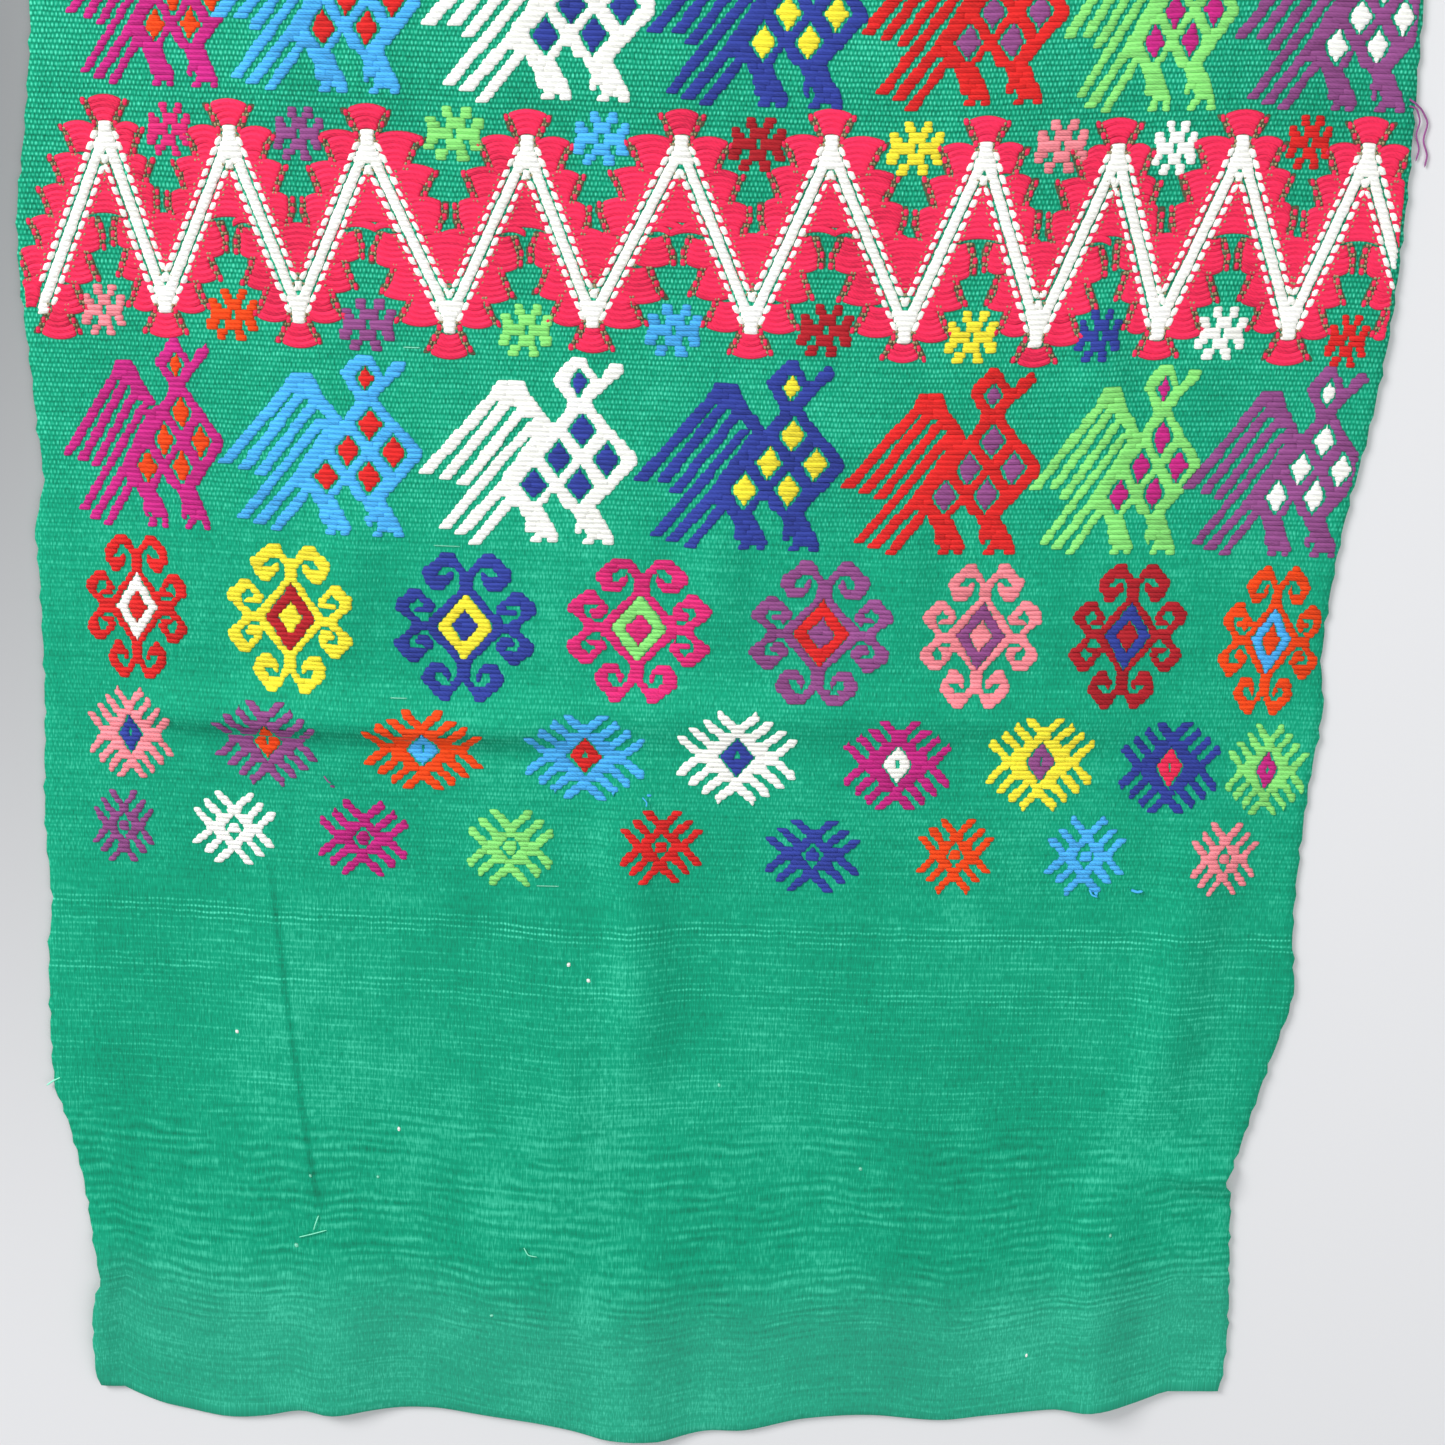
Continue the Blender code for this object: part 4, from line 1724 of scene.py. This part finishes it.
def new_group(name, inputs, outputs):
    """A shader node group with named sockets: (name, kind, value) rows."""
    group = bpy.data.node_groups.new(name, "ShaderNodeTree")
    for socket_name, kind, value in inputs:
        socket = group.interface.new_socket(socket_name, in_out="INPUT", socket_type=kind)
        if value is not None:
            socket.default_value = value
    for socket_name, kind in outputs:
        group.interface.new_socket(socket_name, in_out="OUTPUT", socket_type=kind)
    wires = Wiring(group)
    return group, wires, wires.node("NodeGroupInput"), wires.node("NodeGroupOutput")


# Noises over the weave: how fast they change across and along, and how fine they go.
# "tone" is how strongly one changes the colour.
Noise = namedtuple("Noise", "across along detail roughness tone")

WEAVE_NOISES = {
    "wobble_across": Noise(0.35, 0.5, 1.0, 0.5, 0.0),
    "wobble_along": Noise(0.11, 0.45, 1.0, 0.5, 0.0),
    "bead_luck": Noise(0.7, 0.8, 1.0, 0.5, 0.0),
    "row_streak": Noise(0.030, 0.95, 2.0, 0.6, 0.40),
    "bend": Noise(0.040, 0.22, 1.0, 0.5, 0.0),
    "wide_luck": Noise(0.030, 0.12, 1.0, 0.5, 0.0),
    "dashes": Noise(0.085, 0.55, 2.0, 0.65, 0.0),
    "end_streak": Noise(0.80, 0.045, 2.0, 0.6, 0.28),
    "blotch": Noise(0.010, 0.022, 2.0, 0.5, 0.30),
    "patches": Noise(0.040, 0.085, 2.0, 0.5, 0.20),
    "grain": Noise(1.5, 0.6, 1.0, 0.5, 0.70),
    "neps": Noise(0.45, 0.9, 1.0, 0.5, 0.0),
}

# How far warp ends and weft rows wobble, and how strong the parts of the relief are
WOBBLE_ACROSS = 0.9
WOBBLE_ALONG = 0.55
STAGGER = 0.45
BEAD_RELIEF = 2.0
BEAD_FLOOR = -0.85
BEAD_RIB = 0.13
WIDE_RIB = 0.36
WIDE_BEND = 1.5

# Between which values of its noise a part comes in
FINE_ROWS_COME = (0.38, 0.66)
WIDE_RIBS_COME = (0.30, 0.62)
NEPS_COME = (0.80, 0.86)

# How relief, crease, neps and wear show in the colour, the roughness and the height
# In the colour, relief paints light on crests and shade in dips
RELIEF_LIGHT_AND_SHADE = 0.30
# The crease is painted darker, as its shade
CREASE_SHADE = -0.21
NEP_SHARE = 0.5
NEP_COLOUR = (0.55, 0.78, 0.66, 1.0)
WORN_SHARE = 0.06
WORN_COLOUR = (0.25, 0.65, 0.70, 1.0)
CLOTH_ROUGHNESS = 0.84
RELIEF_ROUGHNESS = -0.06
RELIEF_HEIGHT = 0.4
CREASE_HEIGHT = -0.25


def warp_faced_weave_group():
    """Warp beads and weft ribs from a map counted in warp ends and weft rows."""
    group, w, inside, out = new_group(
        "warp_faced_weave",
        [
            ("Weave", "NodeSocketVector", None),
            ("Beads", "NodeSocketFloat", 1.0),
            ("Fine Ribs", "NodeSocketFloat", 0.0),
            ("Wide Ribs", "NodeSocketFloat", 0.0),
            ("Tone", "NodeSocketFloat", USUAL_TONE),
            ("Worn", "NodeSocketFloat", 0.0),
            ("Crease", "NodeSocketFloat", 0.0),
            ("Deep Green", "NodeSocketColor", None),
            ("Green", "NodeSocketColor", None),
            ("Lit Green", "NodeSocketColor", None),
        ],
        [("Color", "NodeSocketColor"), ("Roughness", "NodeSocketFloat"), ("Height", "NodeSocketFloat")],
    )
    given = inside.outputs
    split = w.node("ShaderNodeSeparateXYZ")
    w.join(given["Weave"], split.inputs[0])
    noise = {name: w.noise(given["Weave"], kind) for name, kind in WEAVE_NOISES.items()}

    # Ends and rows with their wobble, and the beads that the warp makes between them
    ends = w.math("ADD", split.outputs[0], w.swing(noise["wobble_across"], WOBBLE_ACROSS))
    rows = w.math("ADD", split.outputs[1], w.swing(noise["wobble_along"], WOBBLE_ALONG))
    over_ends = w.math("SINE", w.math("MULTIPLY", ends, math.pi))
    over_rows = w.math("SINE", w.math("MULTIPLY", rows, math.pi))
    row_swell = w.math("POWER", w.math("ABSOLUTE", over_rows), 0.7)
    staggered = w.math("MULTIPLY", over_ends, w.math("SIGN", over_rows))
    bead = w.math("MULTIPLY", row_swell, w.math("MULTIPLY_ADD", staggered, STAGGER, 1 - STAGGER))
    bead = w.math("MULTIPLY_ADD", bead, BEAD_RELIEF, BEAD_FLOOR)
    bead = w.math("MULTIPLY", bead, w.math("MULTIPLY_ADD", noise["bead_luck"], 1.6, -0.06))
    rib = w.math("MULTIPLY", w.math("COSINE", w.math("MULTIPLY", rows, 2 * math.pi)), -1.0)
    bead_part = w.math("MULTIPLY", bead, given["Beads"])
    rib_part = w.math("MULTIPLY", rib, w.math("MULTIPLY", given["Beads"], BEAD_RIB))

    # Fine ribs: dotted crests of the rows, stronger in some rows than in others
    crest = w.math("POWER", w.math("MULTIPLY_ADD", rib, 0.5, 0.5), 2.0)
    dotted = w.math("MULTIPLY", crest, w.math("MULTIPLY_ADD", over_ends, 0.35, 0.65))
    row_luck = w.math("MULTIPLY_ADD", w.steps(noise["row_streak"], *FINE_ROWS_COME), 0.55, 0.30)
    fine_part = w.math("MULTIPLY", w.math("SUBTRACT", dotted, 0.25), row_luck)
    fine_part = w.math("MULTIPLY", fine_part, given["Fine Ribs"])

    # Wide ribs: every second row, bent and broken up, with light dashes
    wide_rows = w.math("MULTIPLY_ADD", noise["bend"], WIDE_BEND, w.math("MULTIPLY", split.outputs[1], 0.5))
    wave = w.math("SINE", w.math("MULTIPLY", wide_rows, 2 * math.pi))
    wave = w.math("MULTIPLY", wave, WIDE_RIB)
    wave = w.math("MULTIPLY", wave, w.steps(noise["wide_luck"], *WIDE_RIBS_COME))
    wide_part = w.math("MULTIPLY", w.math("ADD", w.swing(noise["dashes"], 1.0), wave), given["Wide Ribs"])

    # Colour
    relief = w.math("ADD", w.math("ADD", bead_part, rib_part), w.math("ADD", fine_part, wide_part))
    # Relief is painted into the colour: light on crests, shade in dips
    tone = w.math("MULTIPLY_ADD", relief, RELIEF_LIGHT_AND_SHADE, given["Tone"])
    # The pressed crease is painted darker, as its shade
    tone = w.math("MULTIPLY_ADD", given["Crease"], CREASE_SHADE, tone)
    for name, kind in WEAVE_NOISES.items():
        if kind.tone:
            tone = w.math("ADD", tone, w.swing(noise[name], kind.tone))
    colour = w.tinted(tone, given["Deep Green"], given["Green"], given["Lit Green"])
    neps = w.steps(noise["neps"], *NEPS_COME)
    colour = w.mix(w.math("MULTIPLY", neps, NEP_SHARE), colour, NEP_COLOUR)
    colour = w.mix(w.math("MULTIPLY", given["Worn"], WORN_SHARE), colour, WORN_COLOUR)
    w.join(colour, out.inputs["Color"])
    w.join(w.math("MULTIPLY_ADD", relief, RELIEF_ROUGHNESS, CLOTH_ROUGHNESS), out.inputs["Roughness"])
    height = w.math("ADD", w.math("ADD", bead_part, rib_part), wide_part)
    height = w.math("MULTIPLY", height, RELIEF_HEIGHT)
    w.join(w.math("MULTIPLY_ADD", given["Crease"], CREASE_HEIGHT, height), out.inputs["Height"])
    return group


# Noises over a yarn, stretched along it and across its strands
FIBRES = Noise(0.55, 7.0, 2.0, 0.6, 0.7)
SLUB_NOISE = Noise(0.35, 0.6, 2.0, 0.5, 0.35)
TWIST_SLANT = 1.6
TWIST_TURNS = 4.4

# How shade, twist and strands show in a yarn's tone; strand crowns are painted lighter and the
# outer edges darker, as painted light and shade
YARN_TONE = 0.20
SHADE_TONE = 0.34
TWIST_TONE = 0.05
STRAND_CROWN_LIGHT = 0.12
EDGE_SHADE = -0.55
BESIDE_EDGE = 0.08
EDGE_FROM_TO = (0.6, 1.1)


def loose_yarn_group():
    """Softly twisted yarn of two strands, from a map counted in millimetres and strands."""
    group, w, inside, out = new_group(
        "loose_yarn",
        [
            ("Yarn Map", "NodeSocketVector", None),
            ("Shade", "NodeSocketFloat", 0.5),
            ("Deep Colour", "NodeSocketColor", None),
            ("Colour", "NodeSocketColor", None),
            ("Lit Colour", "NodeSocketColor", None),
        ],
        [("Color", "NodeSocketColor"), ("Roughness", "NodeSocketFloat"), ("Height", "NodeSocketFloat")],
    )
    given = inside.outputs
    split = w.node("ShaderNodeSeparateXYZ")
    w.join(given["Yarn Map"], split.inputs[0])
    slant = w.math("MULTIPLY_ADD", split.outputs[1], TWIST_SLANT, split.outputs[0])
    twist = w.math("SINE", w.math("MULTIPLY", slant, TWIST_TURNS))
    strand = w.math("ABSOLUTE", w.math("SINE", w.math("MULTIPLY", split.outputs[1], math.pi)))
    fibres = w.noise(given["Yarn Map"], FIBRES)
    slub = w.noise(given["Yarn Map"], SLUB_NOISE)
    tone = w.math("MULTIPLY_ADD", given["Shade"], SHADE_TONE, YARN_TONE)
    for value, kind in ((fibres, FIBRES), (slub, SLUB_NOISE)):
        tone = w.math("ADD", tone, w.swing(value, kind.tone))
    tone = w.math("MULTIPLY_ADD", twist, TWIST_TONE, tone)
    tone = w.math("MULTIPLY_ADD", strand, STRAND_CROWN_LIGHT, tone)
    # A float's outer edges are painted darker: shade where it meets the rows beside it
    row_edge = w.steps(w.math("ABSOLUTE", split.outputs[1]), *EDGE_FROM_TO)
    tone = w.math("MULTIPLY_ADD", row_edge, EDGE_SHADE, w.math("ADD", tone, BESIDE_EDGE))
    w.join(w.tinted(tone, given["Deep Colour"], given["Colour"], given["Lit Colour"]), out.inputs["Color"])
    w.join(w.math("MULTIPLY_ADD", fibres, -0.16, 0.80), out.inputs["Roughness"])
    height = w.math("MULTIPLY_ADD", strand, 0.8, w.math("MULTIPLY_ADD", twist, 0.2, fibres))
    w.join(height, out.inputs["Height"])
    return group


def finish_material(material, group_node, bump_distance, bump_strength):
    """Feed a Principled shader from a group's colour, roughness and height."""
    w = Wiring(material.node_tree)
    shader = material.node_tree.nodes["Principled BSDF"]
    w.join(group_node.outputs["Color"], shader.inputs["Base Color"])
    w.join(group_node.outputs["Roughness"], shader.inputs["Roughness"])
    bump = w.node("ShaderNodeBump")
    bump.inputs["Distance"].default_value = bump_distance
    bump.inputs["Strength"].default_value = bump_strength
    w.join(group_node.outputs["Height"], bump.inputs["Height"])
    w.join(bump.outputs["Normal"], shader.inputs["Normal"])
    shader.inputs["Metallic"].default_value = 0.0
    shader.inputs["Specular IOR Level"].default_value = COTTON_GLOSS


# The green of the cloth: painted shade in its dips, plain between, painted highlight on crests
SHADED_GREEN = Yarn("deep green", 0, 106, 77)
CLOTH_GREEN = Yarn("cloth green", 0, 158, 119)
LIT_GREEN = Yarn("lit green", 84, 223, 184)

# Depth and strength of the bump of cloth and yarn
CLOTH_BUMP = (0.0004, 0.55)
YARN_BUMP = (0.00025, 0.7)
COTTON_GLOSS = 0.25

# The pressed crease left of the middle, shown as a thin painted shade and a dent: x = first +
# second * t + third * t * t, in metres, where t is measured along the runner from its middle part
CreaseLine = namedtuple("CreaseLine", "middle first second third")
PRESSED_CREASE = CreaseLine(-0.41, -0.1243, -0.121, 0.25)
CREASE_HALF = 0.0019
CREASE_ENDS = ((-0.474, -0.464), (-0.365, -0.345))


def crease_mask(w):
    """1 in the pressed crease and 0 beside it."""
    split = w.node("ShaderNodeSeparateXYZ")
    w.join(w.node("ShaderNodeTexCoord").outputs["Object"], split.inputs[0])
    x, y = split.outputs[0], split.outputs[1]
    t = w.math("SUBTRACT", y, PRESSED_CREASE.middle)
    line = w.math("MULTIPLY_ADD", t, PRESSED_CREASE.third, PRESSED_CREASE.second)
    line = w.math("MULTIPLY_ADD", line, t, PRESSED_CREASE.first)
    aside = w.math("ABSOLUTE", w.math("SUBTRACT", x, line))
    mask = w.math("SUBTRACT", 1.0, w.steps(aside, 0.0, CREASE_HALF))
    (start, full), (fade, end) = CREASE_ENDS
    mask = w.math("MULTIPLY", mask, w.steps(y, start, full))
    return w.math("MULTIPLY", mask, w.math("SUBTRACT", 1.0, w.steps(y, fade, end)))


def green_cloth_material(group):
    """Green warp-faced cotton whose weave follows the warp and weft of this cloth."""
    material = bpy.data.materials.new("green_warp_faced_cotton")
    material.use_nodes = True
    w = Wiring(material.node_tree)
    weave_map = w.node("ShaderNodeUVMap", uv_map="weave")
    zones = w.node("ShaderNodeAttribute", attribute_name="weave_zones")
    split = w.node("ShaderNodeSeparateColor")
    w.join(zones.outputs["Color"], split.inputs[0])
    weave = w.node("ShaderNodeGroup", node_tree=group)
    w.join(weave_map.outputs[0], weave.inputs["Weave"])
    w.join(split.outputs[0], weave.inputs["Beads"])
    w.join(split.outputs[1], weave.inputs["Fine Ribs"])
    w.join(split.outputs[2], weave.inputs["Wide Ribs"])
    # Its tone carries bands of painted fold light and shade
    tones = w.node("ShaderNodeAttribute", attribute_name="weave_tones")
    split_tones = w.node("ShaderNodeSeparateColor")
    w.join(tones.outputs["Color"], split_tones.inputs[0])
    w.join(split_tones.outputs[0], weave.inputs["Tone"])
    w.join(split_tones.outputs[1], weave.inputs["Worn"])
    w.join(crease_mask(w), weave.inputs["Crease"])
    weave.inputs["Deep Green"].default_value = yarn_colour(SHADED_GREEN)
    weave.inputs["Green"].default_value = yarn_colour(CLOTH_GREEN)
    weave.inputs["Lit Green"].default_value = yarn_colour(LIT_GREEN)
    finish_material(material, weave, *CLOTH_BUMP)
    return material


# How dark a yarn's painted shade is, and that of the white yarn, and how light its painted
# highlight is, as shares of its colour
DEEP = 0.5
DEEP_PALE = 0.8
LIT = 1.25


def yarn_material(yarn, group):
    """Brocade cotton of one colour."""
    material = bpy.data.materials.new("brocade_yarn_" + yarn.name)
    material.use_nodes = True
    w = Wiring(material.node_tree)
    yarn_map = w.node("ShaderNodeUVMap", uv_map="yarn")
    shade = w.node("ShaderNodeAttribute", attribute_name="yarn_shade")
    yarn_node = w.node("ShaderNodeGroup", node_tree=group)
    w.join(yarn_map.outputs[0], yarn_node.inputs["Yarn Map"])
    w.join(shade.outputs["Fac"], yarn_node.inputs["Shade"])
    deep = DEEP_PALE if yarn.name == "cream_white" else DEEP
    yarn_node.inputs["Deep Colour"].default_value = yarn_colour(yarn, deep)
    yarn_node.inputs["Colour"].default_value = yarn_colour(yarn)
    yarn_node.inputs["Lit Colour"].default_value = yarn_colour(yarn, LIT)
    finish_material(material, yarn_node, *YARN_BUMP)
    return material


# Loose ends of yarn
LooseEnd = namedtuple("LooseEnd", "yarn thick points")

LOOSE_ENDS = [
    LooseEnd("purple", 0.55, [
        (199.2, 439.5, 1.6), (201.2, 438.2, 1.9), (203.4, 436.5, 1.0), (205.6, 433.0, 0.5),
        (204.6, 428.2, 0.4), (206.4, 424.0, 0.4), (205.9, 420.6, 0.4),
    ]),
    LooseEnd("purple", 0.5, [
        (199.4, 437.6, 1.6), (201.6, 436.9, 1.8), (203.2, 433.4, 0.9), (202.4, 429.5, 0.5),
        (203.9, 425.6, 0.4), (203.2, 422.2, 0.4),
    ]),
    LooseEnd("light_blue", 0.9, [(138.2, 198.7, 1.9), (140.0, 198.1, 2.0), (141.8, 198.4, 1.8)]),
    LooseEnd("light_blue", 0.6, [(125.2, 198.3, 2.0), (126.0, 196.6, 2.1), (127.9, 195.9, 1.8)]),
    LooseEnd("light_blue", 0.45, [(-14.8, 223.4, 2.2), (-13.4, 221.9, 2.3), (-13.6, 220.4, 2.1)]),
    LooseEnd("purple", 0.45, [(-113.2, 226.6, 2.2), (-112.0, 224.9, 2.3), (-111.2, 224.4, 2.1)]),
    LooseEnd("pale_green", 0.35, [(-122.6, 70.0, 1.5), (-119.0, 71.2, 1.85), (-113.8, 72.7, 1.5)]),
    LooseEnd("pale_green", 0.35, [(-116.4, 77.8, 1.5), (-117.4, 74.9, 1.9), (-118.0, 72.7, 1.7)]),
    LooseEnd("pale_green", 0.35, [(-49.5, 69.3, 1.5), (-48.1, 66.8, 1.85), (-45.2, 66.2, 1.5)]),
    LooseEnd("pale_green", 0.5, [(-198.9, 122.6, 1.0), (-201.2, 121.4, 1.1), (-203.4, 119.6, 0.8)]),
]

# Sides of a loose end, steps between two of its points, and how thin its tip is
TUBE_SIDES = 6
TUBE_STEPS = 4
TAIL_TIP = 0.3

# Where a loose end lies across a strand, and its share of light
TAIL_STRAND = 0.4
TAIL_SHADE = 0.6


def tube(points, radius):
    """Points and faces of a thin tube along a smooth path."""
    path = np.array(points, dtype=float)
    knots = np.arange(len(path))
    fine = np.linspace(0, len(path) - 1, TUBE_STEPS * (len(path) - 1) + 1)
    line = np.column_stack([np.interp(fine, knots, path[:, i]) for i in range(3)])
    line[1:-1] = (line[:-2] + 2 * line[1:-1] + line[2:]) / 4
    ahead = np.gradient(line, axis=0)
    ahead /= np.linalg.norm(ahead, axis=1)[:, None]
    side = np.cross(ahead, (0, 0, 1.0))
    side /= np.linalg.norm(side, axis=1)[:, None]
    up = np.cross(side, ahead)
    turn = np.linspace(0, 2 * math.pi, TUBE_SIDES + 1)
    taper = np.full(len(line), radius)
    taper[-1] *= TAIL_TIP
    ring = line[:, None] + taper[:, None, None] * (
        side[:, None] * np.cos(turn)[None, :, None] + up[:, None] * np.sin(turn)[None, :, None]
    )
    faces = pattern_faces(1, len(line), TUBE_SIDES + 1)
    return ring.reshape(-1, 3), faces


def make_loose_ends(materials):
    """The few yarn tails that stand off the brocade and the selvedge."""
    points, faces, yarns = [], [], []
    start = 0
    for end in LOOSE_ENDS:
        end_points, end_faces = tube(end.points, end.thick / 2)
        x, from_end = end_points[:, 0], end_points[:, 1]
        inside = x < right_edge(float(from_end.mean()))
        end_points[:, 2] += np.where(inside, cloth_lift(x, from_end), 0.0)
        end_points[:, 1] -= LENGTH / 2
        points.append(end_points)
        faces.append(end_faces + start)
        yarns += [YARN_NUMBER[end.yarn]] * len(end_faces)
        start += len(end_points)
    points, faces = np.concatenate(points), np.concatenate(faces)
    yarn_map = np.column_stack((points[:, 0] + points[:, 1], np.full(len(points), TAIL_STRAND)))
    shades = np.full(len(points), TAIL_SHADE)
    return finish_yarn_piece("loose_ends", points, faces, yarn_map, shades, yarns, materials)


# Studio

CAMERA_PLACE = (0.00905, -0.111, 0.715)
CAMERA_TILT = math.radians(15.0)
CAMERA_ROLL = math.radians(2.0)
LENS = 60.0
SENSOR = 36.0


def make_camera():
    """Camera above the decorated end, leaning a little towards the hem."""
    data = bpy.data.cameras.new("camera")
    data.lens = LENS
    data.sensor_width = SENSOR
    camera = bpy.data.objects.new("camera", data)
    bpy.context.scene.collection.objects.link(camera)
    level, plumb = math.cos(CAMERA_TILT), math.sin(CAMERA_TILT)
    aside = math.sin(CAMERA_ROLL)
    right = Vector((math.cos(CAMERA_ROLL), aside * level, -aside * plumb))
    back = Vector((0.0, plumb, level))
    up = back.cross(right)
    turn = Matrix((right, up, back)).transposed().to_4x4()
    camera.matrix_world = Matrix.Translation(CAMERA_PLACE) @ turn
    bpy.context.scene.camera = camera


# The pale floor has one soft shade left of the cloth. Its edges are (from, to) in metres:
# towards the left and along the runner, where it begins and where it ends.
FLOOR_COLOUR = (0.73, 0.73, 0.74, 1.0)
FLOOR_SHADE = (0.205, 0.213, 0.217, 1.0)
FLOOR_ROUGHNESS = 0.7
FLOOR_REACH = 3.0
FLOOR_DROP = 0.0002

ShadeEdge = namedtuple("ShadeEdge", "begins ends")
SHADE_LEFTWARD = ShadeEdge((0.05, 0.22), (0.25, 0.55))
SHADE_ALONG = ShadeEdge((-0.59, -0.06), (-0.06, 0.35))


def floor_material():
    """Pale paper with one soft shade over it."""
    material = bpy.data.materials.new("pale_floor")
    material.use_nodes = True
    shader = material.node_tree.nodes["Principled BSDF"]
    shader.inputs["Roughness"].default_value = FLOOR_ROUGHNESS
    w = Wiring(material.node_tree)
    split = w.node("ShaderNodeSeparateXYZ")
    w.join(w.node("ShaderNodeTexCoord").outputs["Object"], split.inputs[0])
    leftward = w.math("MULTIPLY", split.outputs[0], -1.0)
    shade = 1.0
    for place, edge in ((leftward, SHADE_LEFTWARD), (split.outputs[1], SHADE_ALONG)):
        shade = w.math("MULTIPLY", shade, w.steps(place, *edge.begins))
        shade = w.math("MULTIPLY", shade, w.math("SUBTRACT", 1.0, w.steps(place, *edge.ends)))
    w.join(w.mix(shade, FLOOR_COLOUR, FLOOR_SHADE), shader.inputs["Base Color"])
    return material


def make_floor():
    """A plain pale floor."""
    mesh = bpy.data.meshes.new("floor")
    corners = [(x * FLOOR_REACH, y * FLOOR_REACH, 0) for x, y in ((-1, -1), (1, -1), (1, 1), (-1, 1))]
    mesh.from_pydata(corners, [], [(0, 1, 2, 3)])
    floor = bpy.data.objects.new("floor", mesh)
    floor.location.z = -FLOOR_DROP
    bpy.context.scene.collection.objects.link(floor)
    mesh.materials.append(floor_material())


Lamp = namedtuple("Lamp", "name place aim size power")

LAMPS = [
    Lamp("window light", (-1.15, 0.65, 1.0), (0.0, -0.1, 0.0), 0.7, 31.0),
    Lamp("fill light", (1.0, -0.6, 1.3), (0.0, -0.1, 0.0), 1.4, 9.0),
]
ROOM_COLOUR = (0.95, 0.97, 1.0, 1.0)
ROOM_STRENGTH = 0.46
CHANCE_SEED = 11


def make_lights():
    """Soft light from the upper left and a weak fill from the other side."""
    for lamp in LAMPS:
        data = bpy.data.lights.new(lamp.name, "AREA")
        data.energy = lamp.power
        data.size = lamp.size
        light = bpy.data.objects.new(lamp.name, data)
        light.location = lamp.place
        direction = Vector(lamp.aim) - Vector(lamp.place)
        light.rotation_euler = direction.to_track_quat("-Z", "Y").to_euler()
        bpy.context.scene.collection.objects.link(light)
    world = bpy.data.worlds.new("studio")
    world.use_nodes = True
    background = world.node_tree.nodes["Background"]
    background.inputs["Color"].default_value = ROOM_COLOUR
    background.inputs["Strength"].default_value = ROOM_STRENGTH
    bpy.context.scene.world = world


def main():
    """The studio, then the cloth with its brocade and loose ends."""
    bpy.context.scene.view_settings.view_transform = "Standard"
    make_camera()
    make_floor()
    make_lights()
    rng = np.random.default_rng(CHANCE_SEED)
    cloth = make_cloth(green_cloth_material(warp_faced_weave_group()))
    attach(cloth, "root")
    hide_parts("runner_cloth")
    yarn_group = loose_yarn_group()
    materials = {yarn.name: yarn_material(yarn, yarn_group) for yarn in YARNS}
    for name, floats in zip(PIECES, weave_brocade()):
        make_brocade(name, floats, materials, rng)
    make_loose_ends(materials)


main()
